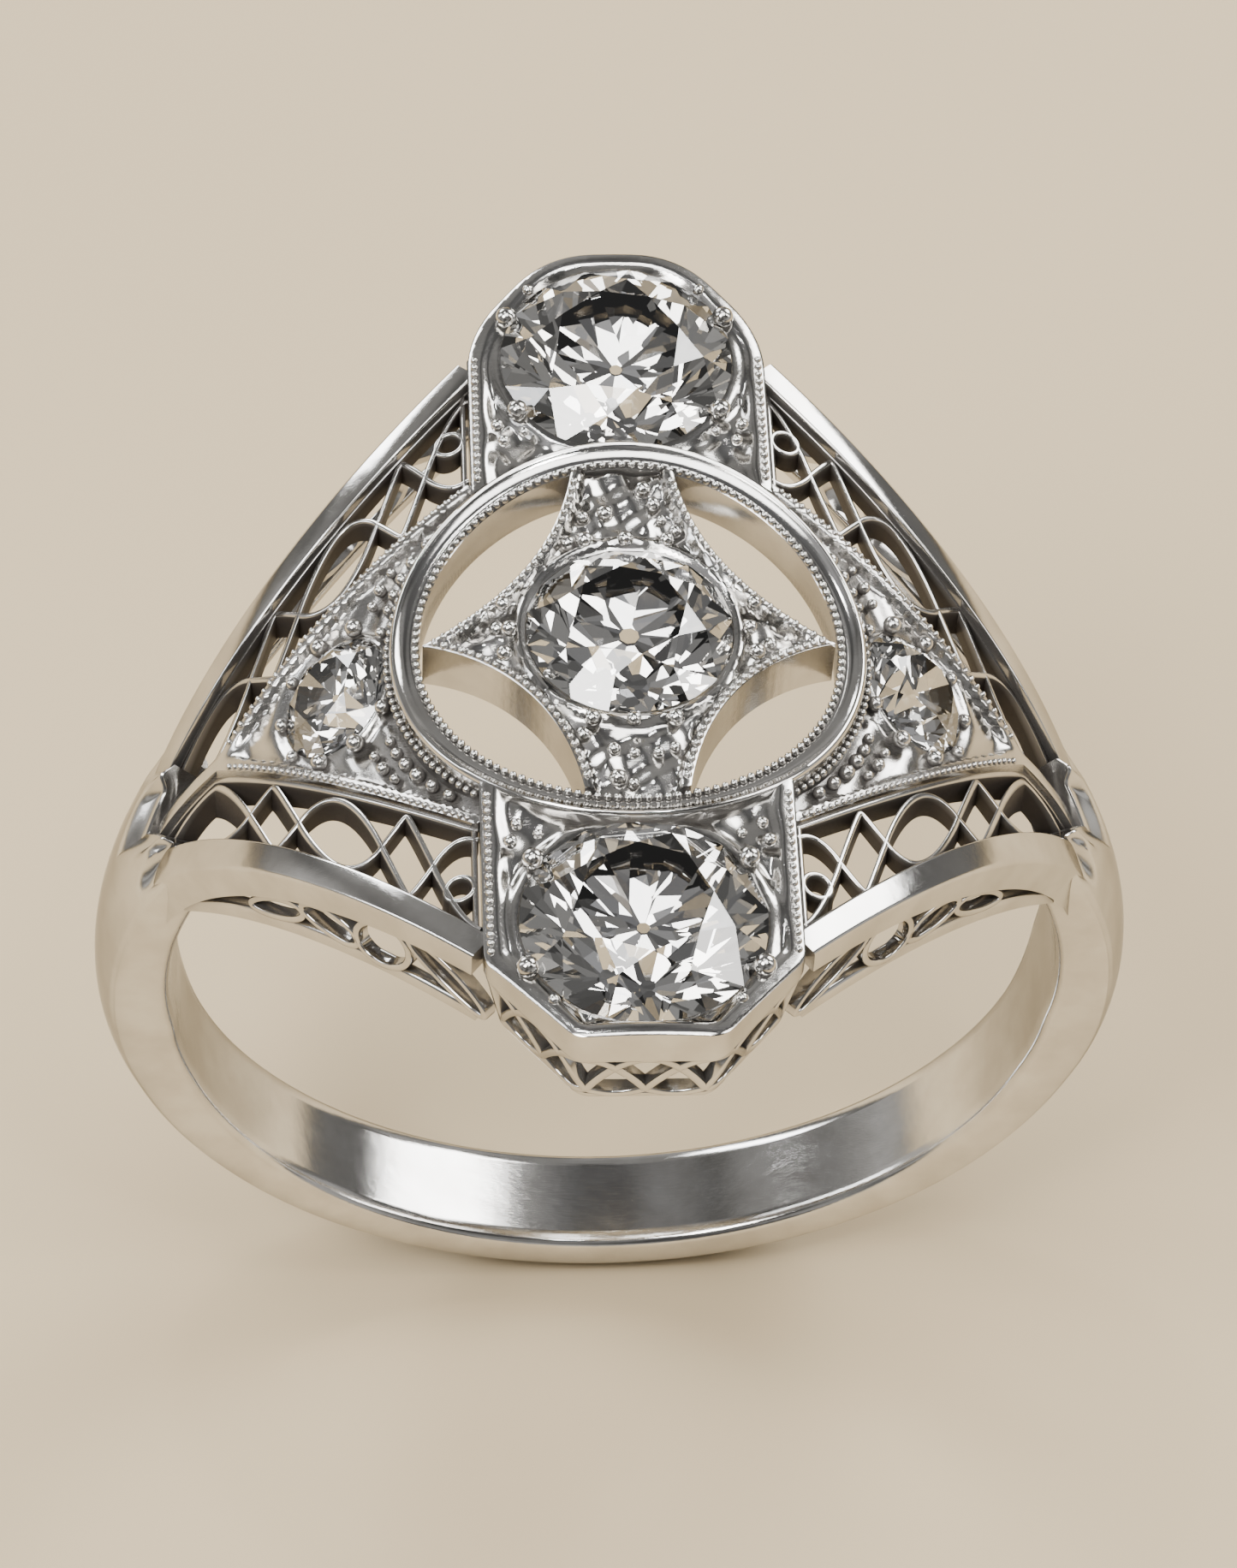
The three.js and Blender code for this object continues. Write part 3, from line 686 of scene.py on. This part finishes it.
def old_cut(radius, spin, culet_share, half_share):
    """An old round brilliant, cut plane by plane, with a small high table and an open culet.

    The shares of the radius say where the culet's corners are and how far out the lower halves begin.
    """
    turn = np.linspace(0, 2 * math.pi, 96, endpoint=False)
    hoop = np.stack([radius * np.cos(turn), radius * np.sin(turn), np.full(96, 1.1 * radius)], 1)
    floor_hoop = hoop * (1, 1, -1)
    faces = [hoop, floor_hoop[::-1]]
    for a in range(96):
        b = (a + 1) % 96
        faces.append(np.array([floor_hoop[a], floor_hoop[b], hoop[b], hoop[a]]))
    girdle, table, culet = 0.022 * radius, 0.54 * radius, culet_share * radius
    crown, pavilion = math.tan(math.radians(34.5)), math.tan(math.radians(42.5))
    step = math.radians(22.5)

    def cut(a, b, c, above):
        normal = unit(np.cross(b - a, c - a))
        if (normal[2] > 0) != above:
            normal = -normal
        faces[:] = clipped(faces, a, normal)

    top = girdle + (radius - table) * crown
    star_at = table + 0.42 * (radius - table)
    star_z = girdle + (radius - star_at * math.cos(step)) * crown
    half_at = half_share * radius
    half_z = -girdle - (radius - half_at * math.cos(step)) * pavilion
    bottom = -girdle - (radius - culet) * pavilion
    for k in range(8):
        turn = spin + 45 * k
        across = polar(1, turn + 90, 0)
        upper, lower = polar(radius, turn, girdle), polar(radius, turn, -girdle)
        cut(upper, polar(table, turn, top), upper + across, True)
        cut(lower, polar(culet, turn, bottom), lower + across, False)
    for k in range(8):
        turn = spin + 45 * k + 22.5
        star, half = polar(star_at, turn, star_z), polar(half_at, turn, half_z)
        cut(polar(table * math.cos(step), turn, top), star, star + polar(1, turn + 90, 0), True)
        for side in (-22.5, 22.5):
            cut(star, polar(radius, turn + side, girdle), polar(radius, turn, girdle * 1.2), True)
            cut(half, polar(radius, turn + side, -girdle), polar(radius, turn, -girdle * 1.2), False)
    for height, above in ((top, True), (bottom, False)):
        cut(polar(1, 0, height), polar(1, 120, height), polar(1, 240, height), above)

    # The corners of one facet found from two sides differ in the last digits: a hull closes the stone
    bm = bmesh.new()
    for point in np.unique(np.round(np.vstack(faces), 5), axis=0):
        bm.verts.new(point)
    bmesh.ops.remove_doubles(bm, verts=bm.verts, dist=3e-4)
    bmesh.ops.convex_hull(bm, input=bm.verts)
    bmesh.ops.dissolve_limit(bm, angle_limit=math.radians(0.3), verts=bm.verts, edges=bm.edges)
    bmesh.ops.delete(bm, geom=[v for v in bm.verts if not v.link_faces], context="VERTS")
    bm.verts.index_update()
    verts = np.array([v.co for v in bm.verts])
    loops = [tuple(v.index for v in face.verts) for face in bm.faces]
    bm.free()
    return verts, loops


def stone(name, radius, centre, spin, tilt=0.0, lean=0.0, culet=0.09, half=0.42):
    """An old-cut diamond, turned by tilt about Y and by lean about X."""
    verts, faces = old_cut(radius, spin, culet, half)
    turn = np.array(Matrix.Rotation(tilt, 3, "Y") @ Matrix.Rotation(lean, 3, "X"))
    build = Build()
    build.add(verts @ turn.T + centre, faces)
    build.make(name, DIAMOND, "diamond", name.replace("old_cut", "diamond"), flat=True)


# Centre ring and star -----------------------------------------------------------------------------

def bead_ring(radius, height):
    """Evenly spaced points on a circle that follows the dome."""
    x, y = circle(radius, count=int(2 * math.pi * radius / BEAD_PITCH)).T
    return np.c_[x, y, dome(x) + height]


def center_ring():
    """A collar whose band slopes in and down from a rounded rim to a beaded inner edge.

    The points of its section are radii and heights above the dome.
    """
    foot = [(4.05, -1.22), (4.07, -1.25), (4.60, -1.25), (4.62, -1.22)]
    rim = [(4.62, -0.11), (4.61, -0.05), (4.585, -0.015), (4.55, 0.0), (4.515, -0.012), (4.48, -0.04)]
    slope = [(4.43, -0.075), (4.37, -0.11), (4.31, -0.135), (4.25, -0.15), (4.20, -0.155)]
    ledge = [(4.18, -0.17), (4.17, -0.21), (4.07, -0.21), (4.05, -0.23)]
    section = foot + rim + slope + ledge
    rings = []
    for a in np.linspace(0, 2 * math.pi, 240, endpoint=False):
        c, s = math.cos(a), math.sin(a)
        rings.append([(r * c, r * s, float(dome(r * c)) + h) for r, h in section])
    build = Build()
    loft(build, rings, closed=True)
    beads(build, bead_ring(4.115, -0.15), 0.085)
    foot_row = bead_ring(4.66, -0.4)
    beads(build, foot_row[np.abs(foot_row[:, 1]) < 3.6], 0.08)
    return build


def star_outline():
    """Two pointed arms along X and two blunt ones along Y, with hollow sides; one side comes back too."""
    blunt = math.asin(STAR_END_HALF / STAR_R)
    corner = np.array([STAR_END_HALF, STAR_R * math.cos(blunt)])
    tip = np.array([STAR_R, 0.0])
    middle = (tip + corner) / 2
    control = middle * (2 * STAR_WAIST / np.linalg.norm(middle) - 1)
    t = np.linspace(0, 1, 24)[:, None]
    side = (1 - t) ** 2 * tip + 2 * t * (1 - t) * control + t ** 2 * corner
    turn = np.linspace(math.pi / 2 - blunt, math.pi / 2 + blunt, 12)[1:-1]
    cap = STAR_R * np.c_[np.cos(turn), np.sin(turn)]
    upper = np.vstack([side, cap, (side * (-1, 1))[::-1]])
    return np.vstack([upper, -upper[1:-1]]), side


def star_plate():
    """The star that holds the centre stone: beaded edges, a sunk engraved field, grains and grips."""
    outline, side = star_outline()
    seat = CENTER_STONE_R - 0.05
    sides = [side * (sx, sy) for sx in (1, -1) for sy in (1, -1)]

    def top(p):
        r = np.hypot(p[:, 0], p[:, 1])
        rim = np.min([distance_to(p, s) for s in sides], 0)
        level = dome(p[:, 0]) - STAR_DROP
        recess = 0.24 * smooth((rim - 0.17) / 0.14) * smooth((r - seat - 0.16) / 0.25)
        turn = np.arctan2(np.abs(p[:, 1]), np.abs(p[:, 0]))
        strokes = np.sin(8.5 * p[:, 0] + 3 * p[:, 1]) + np.sin(7.1 * p[:, 1] - 4 * p[:, 0])
        grooves = 0.06 * np.abs(np.sin(turn * 9)) + 0.03 * strokes
        grooves = grooves * smooth((rim - 0.18) / 0.15) * smooth((r - 2.3) / 0.3)
        seat_slope = smooth((seat + 0.34 - r) / 0.34)
        high = level - recess - grooves - 0.02 * smooth((0.035 - rim) / 0.03)
        return high + (GIRDLE_Z + 0.02 - high) * seat_slope

    def low(p):
        return arch(p[:, 0], DOME_R - STAR_DROP - 1.1, DOME_LIFT)

    build = Build()
    plate(build, outline, [circle(seat)], top, low, step=0.075)
    for s in sides:
        row = spaced(s[1:-1], BEAD_PITCH)
        along = tangents(row, False)
        inward = np.stack([-along[:, 1], along[:, 0]], 1)
        inward *= np.sign(-(inward * row).sum(1))[:, None]
        row = row + inward * 0.09
        beads(build, np.c_[row, dome(row[:, 0]) - STAR_DROP], 0.078)
    grips = ((0, 2.32), (14, 2.5), (-14, 2.5), (180, 2.32), (166, 2.5), (194, 2.5),
             (90, 2.22), (70, 2.33), (110, 2.33), (270, 2.22), (250, 2.33), (290, 2.33))
    beads(build, [polar(reach, turn, GIRDLE_Z + 0.13) for turn, reach in grips], 0.17, 3)
    chance = np.random.default_rng(12)
    spots = np.array([(0.4 * (i + 0.5 * (j % 2)), 0.36 * j) for i in range(-11, 12) for j in range(-11, 12)])
    spots = spots + chance.uniform(-0.09, 0.09, spots.shape)
    reach = np.linalg.norm(spots, axis=1)
    rim = np.min([distance_to(spots, line) for line in sides], 0)
    spots = spots[inside(spots, outline) & (rim > 0.27) & (reach > 2.5) & (reach < 3.75)]
    spots = spots[chance.random(len(spots)) < 0.45]
    for (x, y), size in zip(spots, chance.uniform(0.1, 0.17, len(spots))):
        beads(build, (x, y, dome(x) - STAR_DROP - 0.24), size, 4)
    return build


# Shoulder plates ----------------------------------------------------------------------------------

def shoulder_plate(sign):
    """A three-sided plate with raised beaded edges, a stone sunk in it and a spine down to the shank."""
    near, spine_end = PLATE_CORNER[0] - 0.1, 9.4
    x = np.linspace(PLATE_CORNER[0], PLATE_TIP_X, 40)
    edge = np.c_[x, plate_edge(x)]
    inner_turn = np.linspace(1, -1, 40) * math.acos(near / RING_OUTER)
    inner = (RING_OUTER - 0.03) * np.c_[np.cos(inner_turn), np.sin(inner_turn)]
    outline = np.vstack([
        inner,
        [(near, -PLATE_CORNER[1])],
        edge * (1, -1),
        [(spine_end, -SPINE_HALF), (spine_end, SPINE_HALF)],
        edge[::-1],
        [(near, PLATE_CORNER[1])],
    ])
    tilt, slope = math.cos(SIDE_TILT), math.tan(SIDE_TILT)
    seat = circle(SIDE_STONE_R - 0.04) * (tilt, 1) + (SIDE_STONE_X, 0)
    border = np.vstack([edge, [(spine_end, SPINE_HALF)]])
    borders = [border, border * (1, -1)]

    def girdle(x):
        return SIDE_STONE_Z - (x - SIDE_STONE_X) * slope

    def top(p):
        rim = np.min([distance_to(p, line) for line in borders], 0)
        around_stone = np.hypot((p[:, 0] - SIDE_STONE_X) / tilt, p[:, 1]) - SIDE_STONE_R
        off_spine = 1 - smooth((p[:, 0] - 7.3) / 0.6)
        recess = 0.24 * smooth((rim - 0.17) / 0.16) * off_spine
        cuts = 0.05 * np.sin(7 * p[:, 0] + 2.5 * np.abs(p[:, 1])) * smooth((rim - 0.22) / 0.2) * off_spine
        high = arch(p[:, 0], PLATE_R, HEAD_LIFT) - recess - cuts - 0.02 * smooth((0.035 - rim) / 0.03)
        return high + (girdle(p[:, 0]) + 0.03 - high) * smooth((0.3 - around_stone) / 0.3)

    def low(p):
        return arch(p[:, 0], PLATE_R - PLATE_HEIGHT, HEAD_LIFT)

    build = Build()
    plate(build, outline, [seat], top, low, step=0.085)
    for line in borders:
        row = spaced(line[1:-3], 0.16)
        row = row - np.c_[np.zeros(len(row)), np.sign(row[:, 1]) * 0.075]
        beads(build, np.c_[row, arch(row[:, 0], PLATE_R, HEAD_LIFT) - 0.005], 0.068)
    beside = ((38, 0.16, 0.14), (72, 0.17, 0.18), (108, 0.17, 0.18), (142, 0.16, 0.14))
    opposite = tuple((360 - degrees, reach, size) for degrees, reach, size in beside)
    for degrees, reach, size in ((0, 0.12, 0.15), *beside, *opposite):
        x, y, _ = polar(SIDE_STONE_R + reach, degrees, 0) * (tilt, 1, 1) + (SIDE_STONE_X, 0, 0)
        beads(build, (x, y, girdle(x) + 0.12), size, degrees)
    near_ring = ((1.62, 0.28, 0.13), (1.95, 0.3, 0.15), (2.28, 0.3, 0.16), (2.62, 0.3, 0.16),
                 (2.96, 0.28, 0.14), (3.28, 0.26, 0.12))
    second_row = ((1.85, 0.68, 0.12), (2.2, 0.7, 0.13), (2.54, 0.68, 0.11))
    for y, out, size in near_ring + second_row:
        x = math.sqrt(RING_OUTER ** 2 - y ** 2) + out
        for side in (1, -1):
            beads(build, (x, side * y, arch(x, PLATE_R, HEAD_LIFT) - 0.13), size, int(100 * y))
    return build.mirrored(sign, 1)


# End bezels and their baskets ---------------------------------------------------------------------

def bezel_plan(inner_y, softness):
    """The outer faces of a bezel, with corners that begin to turn a distance of softness away."""
    line = np.array([(BEZEL_HALF, inner_y), (BEZEL_HALF, BEZEL_SIDE_Y), (BEZEL_END_HALF, BEZEL_END_Y),
                     (-BEZEL_END_HALF, BEZEL_END_Y), (-BEZEL_HALF, BEZEL_SIDE_Y), (-BEZEL_HALF, inner_y)])
    t = np.linspace(0, 1, 9)[:, None]
    path = [line[:1]]
    for before, corner, after in zip(line, line[1:], line[2:]):
        start, end = corner + softness * unit(before - corner), corner + softness * unit(after - corner)
        path.append((1 - t) ** 2 * start + 2 * t * (1 - t) * corner + t ** 2 * end)
    return np.vstack([*path, line[-1:]])


def bezel(softness):
    """A bezel with a raised rim and a sunk floor round its stone, cut to fit against the ring."""
    meet = math.acos(BEZEL_HALF / RING_OUTER)
    turn = np.linspace(math.pi - meet, meet, 50)
    arc = (RING_OUTER - 0.03) * np.c_[np.cos(turn), np.sin(turn)]
    rim_line = bezel_plan(RING_OUTER * math.sin(meet), softness)
    outline = np.vstack([rim_line, arc[1:-1]])
    centre = np.array([0, END_STONE_Y])

    def top(p):
        rim = distance_to(p, rim_line)
        from_stone = np.linalg.norm(p - centre, axis=1) - END_STONE_R
        grain = np.sin(6.5 * p[:, 0] + 3 * p[:, 1]) + np.sin(5.1 * p[:, 1] - 4 * p[:, 0])
        floor = GIRDLE_Z + 0.03 - (0.12 + 0.025 * grain) * smooth((from_stone - 0.05) / 0.25)
        lip = 0.03 * smooth((0.05 - rim) / 0.05)
        high = dome(p[:, 0]) - lip
        return high + (floor - high) * smooth((rim - BEZEL_RIM + 0.06) / 0.3)

    def low(p):
        return BEZEL_LOW + (BEZEL_SIDE_LOW - BEZEL_LOW) * smooth((RAIL_END[1] + 0.15 - p[:, 1]) / 0.3)

    build = Build()
    plate(build, outline, [circle(END_STONE_R - 0.06, centre)], top, low, step=0.08)
    for side in (1, -1):
        x = BEZEL_HALF - 0.13
        row = spaced([(x, 3.9), (x, BEZEL_SIDE_Y - 0.75 * softness)], BEAD_PITCH) * (side, 1)
        beads(build, np.c_[row, dome(row[:, 0])], 0.08)
    grips = ((2.18, 7.98, 0.21), (2.02, 5.52, 0.21))
    grains = ((1.72, 8.72, 0.12), (2.42, 5.12, 0.13), (2.3, 4.72, 0.12), (1.9, 4.95, 0.11))
    for x, y, size in grips + grains:
        for side in (1, -1):
            beads(build, (side * x, y, GIRDLE_Z + 0.16), size, int(10 * y))
    return build


def end_gallery(softness):
    """Interlaced arches over a row of scallops, folded round the three outer faces and leaning in below."""
    corners = bezel_plan(RAIL_END[1], softness)
    lengths = np.r_[0, np.cumsum(np.linalg.norm(np.diff(corners, axis=0), axis=1))]
    middle = lengths[-1] / 2
    reach = middle - 0.02
    centre = np.array([0, END_STONE_Y])
    top, low = BEZEL_LOW + 0.03, BASKET_FOOT

    def fold(s, z):
        """Points and outward directions at s along the bezel's outline, for each height z."""
        s = np.clip(s, -reach, reach) + middle
        before, xy, after = (np.stack([np.interp(s + shift, lengths, corners[:, k]) for k in range(2)], 1)
                             for shift in (-0.12, 0.0, 0.12))
        along = unit(after - before)
        normal = np.c_[along[:, 1], -along[:, 0], np.zeros(len(s))]
        normal *= np.sign((normal[:, :2] * (xy - centre)).sum(1))[:, None]
        inward = 1 - BASKET_LEAN * (top - z)
        xy = centre + (xy - centre) * inward[:, None]
        return np.c_[xy, z], normal

    build = Build()
    foot, crest = low + 0.27, top - 0.07
    loops = int(math.ceil(reach / BASKET_PITCH))
    for i in range(-loops - 1, loops):
        t = np.linspace(0, 1, 41)
        for s, z, width in (((i + 2 * t) * BASKET_PITCH, foot + (crest - foot) * np.sin(math.pi * t), 0.17),
                            ((i + t) * BASKET_PITCH, foot - 0.19 * np.sin(math.pi * t), 0.16)):
            keep = np.abs(s) <= reach
            if keep.sum() > 3:
                path, normal = fold(s[keep], z[keep])
                band(build, path, normal, width, BASKET_WALL - 0.03, soft=0.045)
    s = np.linspace(-reach, reach, 90)
    for z, width in ((low + 0.08, 0.15), (top - 0.06, 0.15)):
        path, normal = fold(s, np.full(len(s), z))
        band(build, path, normal, width, BASKET_WALL, soft=0.05)
    z = np.linspace(low + 0.02, top, 14)
    for side in (-1, 1):
        for at, width in ((reach - 0.1, 0.2), (middle - BEZEL_SIDE_Y + RAIL_END[1], 0.24)):
            path, normal = fold(np.full(len(z), side * at), z)
            band(build, path, normal, width, BASKET_WALL, soft=0.06)
    return build


# Assembly -----------------------------------------------------------------------------------------

SMOOTH_SLOT, ENGRAVED_SLOT = "polished_white_gold", "engraved_white_gold"
QUARTERS = (
    ("rail", "edge_rail", rail(), POLISHED, SMOOTH_SLOT),
    ("gallery_rail", "lower_rail", gallery_rail(), POLISHED, SMOOTH_SLOT),
    ("side_gallery", "leaf_gallery", side_gallery(), POLISHED, SMOOTH_SLOT),
    ("filigree", "wire_lattice", filigree(), WIRE, ENGRAVED_SLOT),
)

shank().make("plain_shank", SHANK_GOLD, SMOOTH_SLOT, "shank")
center_ring().make("collar_ring", POLISHED, SMOOTH_SLOT, "center_ring")
star_plate().make("engraved_star", BRIGHT, ENGRAVED_SLOT, "star_plate")
for end, sign_y in ENDS.items():
    holder, basket = bezel(CORNER_SOFTNESS[end]), end_gallery(CORNER_SOFTNESS[end])
    holder.mirrored(1, sign_y).make(f"stone_bezel_{end}", BRIGHT, SMOOTH_SLOT, f"bezel_{end}")
    basket.mirrored(1, sign_y).make(f"pierced_basket_{end}", POLISHED, SMOOTH_SLOT, f"end_gallery_{end}")
    stone(f"old_cut_{end}", END_STONE_R, (0, sign_y * END_STONE_Y, GIRDLE_Z), 9 + 5 * sign_y,
          lean=math.radians(1.5 + 3 * sign_y), culet=0.05, half=0.24)
    for side, sign_x in SIDES.items():
        place = f"{end}_{side}"
        for node, name, build, material, slot in QUARTERS:
            build.mirrored(sign_x, sign_y).make(f"{name}_{place}", material, slot, f"{node}_{place}")

for side, sign_x in SIDES.items():
    plate_node = f"shoulder_plate_{side}"
    shoulder_plate(sign_x).make(f"beaded_shoulder_{side}", ENGRAVED, ENGRAVED_SLOT, plate_node)
    stone(f"old_cut_{side}", SIDE_STONE_R, (sign_x * SIDE_STONE_X, 0, SIDE_STONE_Z), 11,
          tilt=sign_x * SIDE_TILT, culet=0.06, half=0.3)
stone("old_cut_center", CENTER_STONE_R, (0, 0, GIRDLE_Z), 9)


# Floor, light and camera --------------------------------------------------------------------------

def floor():
    """A matt floor just under the ring."""
    bpy.ops.mesh.primitive_plane_add(size=1.2, location=(0, 0, SHANK_LOW[2] * MM - 0.00003))
    ground = bpy.context.object
    ground.name = "floor"
    made, tree, shader = new_material("pale_floor")
    place = add_node(tree, "ShaderNodeTexCoord").outputs["Object"]
    cloud = ranged(tree, noise(tree, place, 25, 3), 0.3, 0.7, 0.0, 1.0)
    colour = mixed(tree, cloud, (0.60, 0.475, 0.295), (0.635, 0.505, 0.32))
    tree.links.new(colour, shader.inputs["Base Color"])
    shader.inputs["Roughness"].default_value = 0.75
    ground.data.materials.append(made)


def world():
    """A soft studio: light round the horizon, dimmer above, with large faint panels that metal can mirror."""
    made = bpy.data.worlds.new("studio")
    bpy.context.scene.world = made
    made.use_nodes = True
    tree = made.node_tree
    tree.nodes.clear()
    out = tree.nodes.new("ShaderNodeOutputWorld")
    background = tree.nodes.new("ShaderNodeBackground")
    direction = tree.nodes.new("ShaderNodeTexCoord").outputs["Generated"]
    split = tree.nodes.new("ShaderNodeSeparateXYZ")
    tree.links.new(direction, split.inputs[0])
    ramp = tree.nodes.new("ShaderNodeValToRGB")
    tree.links.new(split.outputs["Z"], ramp.inputs[0])
    ramp.color_ramp.elements[0].position = 0.0
    ramp.color_ramp.elements[0].color = (0.80, 0.77, 0.72, 1)
    ramp.color_ramp.elements[1].position = 1.0
    ramp.color_ramp.elements[1].color = (0.7, 0.7, 0.72, 1)
    for position, level in ((0.18, 0.72), (0.42, 0.36), (0.75, 0.36)):
        made_stop = ramp.color_ramp.elements.new(position)
        made_stop.color = (level, level * 0.98, level * 0.95, 1)
    panels = ranged(tree, noise(tree, direction, 1.9, 1.0), 0.44, 0.56, 0.55, 1.8)
    panels = combined(tree, "MULTIPLY", panels, ranged(tree, split.outputs["Y"], -0.8, 0.0, 0.85, 1.0))
    lit = add_node(tree, "ShaderNodeVectorMath", operation="SCALE")
    tree.links.new(ramp.outputs[0], lit.inputs[0])
    tree.links.new(panels, lit.inputs["Scale"])
    tree.links.new(lit.outputs[0], background.inputs["Color"])
    background.inputs["Strength"].default_value = 0.45
    tree.links.new(background.outputs[0], out.inputs["Surface"])


def lamp(name, azimuth, elevation, reach, width, height, power, colour=(1, 1, 1)):
    """A flat lamp that faces the head; its azimuth is 0 at the front and 90 on the right."""
    a, e = math.radians(azimuth), math.radians(elevation)
    data = bpy.data.lights.new(name, "AREA")
    data.shape = "RECTANGLE"
    data.size, data.size_y = width * MM, height * MM
    data.energy = power
    data.color = colour
    made = bpy.data.objects.new(name, data)
    bpy.context.scene.collection.objects.link(made)
    back = Vector((math.sin(a) * math.cos(e), -math.cos(a) * math.cos(e), math.sin(e)))
    made.location = back * reach * MM + Vector((0, 0, 0.008))
    made.rotation_mode = "QUATERNION"
    made.rotation_quaternion = back.to_track_quat("Z", "Y")


def camera():
    """Above the front of the head, turned a little to the left and rolled."""
    data = bpy.data.cameras.new("camera")
    made = bpy.data.objects.new("camera", data)
    bpy.context.scene.collection.objects.link(made)
    bpy.context.scene.camera = made
    azimuth, elevation, roll = math.radians(-4.93), math.radians(51.04), math.radians(3.46)
    back = Vector((math.sin(azimuth) * math.cos(elevation), -math.cos(azimuth) * math.cos(elevation),
                   math.sin(elevation)))
    eye = Vector((0, 0, 0.011)) + back * 0.1055
    away = (eye - Vector((0, 0.0004, 0.0056))).normalized()
    right = Vector((0, 0, 1)).cross(away).normalized()
    up = away.cross(right)
    tilted_right = math.cos(roll) * right + math.sin(roll) * up
    tilted_up = -math.sin(roll) * right + math.cos(roll) * up
    made.matrix_world = Matrix((
        (tilted_right.x, tilted_up.x, away.x, eye.x),
        (tilted_right.y, tilted_up.y, away.y, eye.y),
        (tilted_right.z, tilted_up.z, away.z, eye.z),
        (0, 0, 0, 1),
    ))
    data.lens = 126
    data.clip_start, data.clip_end = 0.001, 5.0


floor()
world()
lamp("key", -50, 55, 240, 90, 90, 0.46, (1.0, 0.98, 0.95))
lamp("overhead", 20, 84, 260, 150, 110, 0.36, (1.0, 0.99, 0.97))
lamp("back_right", 134, 32, 240, 130, 100, 0.45, (1.0, 0.99, 0.97))
lamp("back_left", -150, 20, 240, 110, 60, 0.25, (0.98, 0.99, 1.0))
lamp("side_strip", 82, 38, 220, 40, 150, 0.16, (1.0, 0.97, 0.93))
lamp("left_strip", -100, 30, 220, 40, 150, 0.14, (0.95, 0.97, 1.0))
lamp("spark_one", 30, 66, 230, 16, 16, 0.05)
lamp("spark_two", 205, 66, 230, 16, 16, 0.05)
camera()
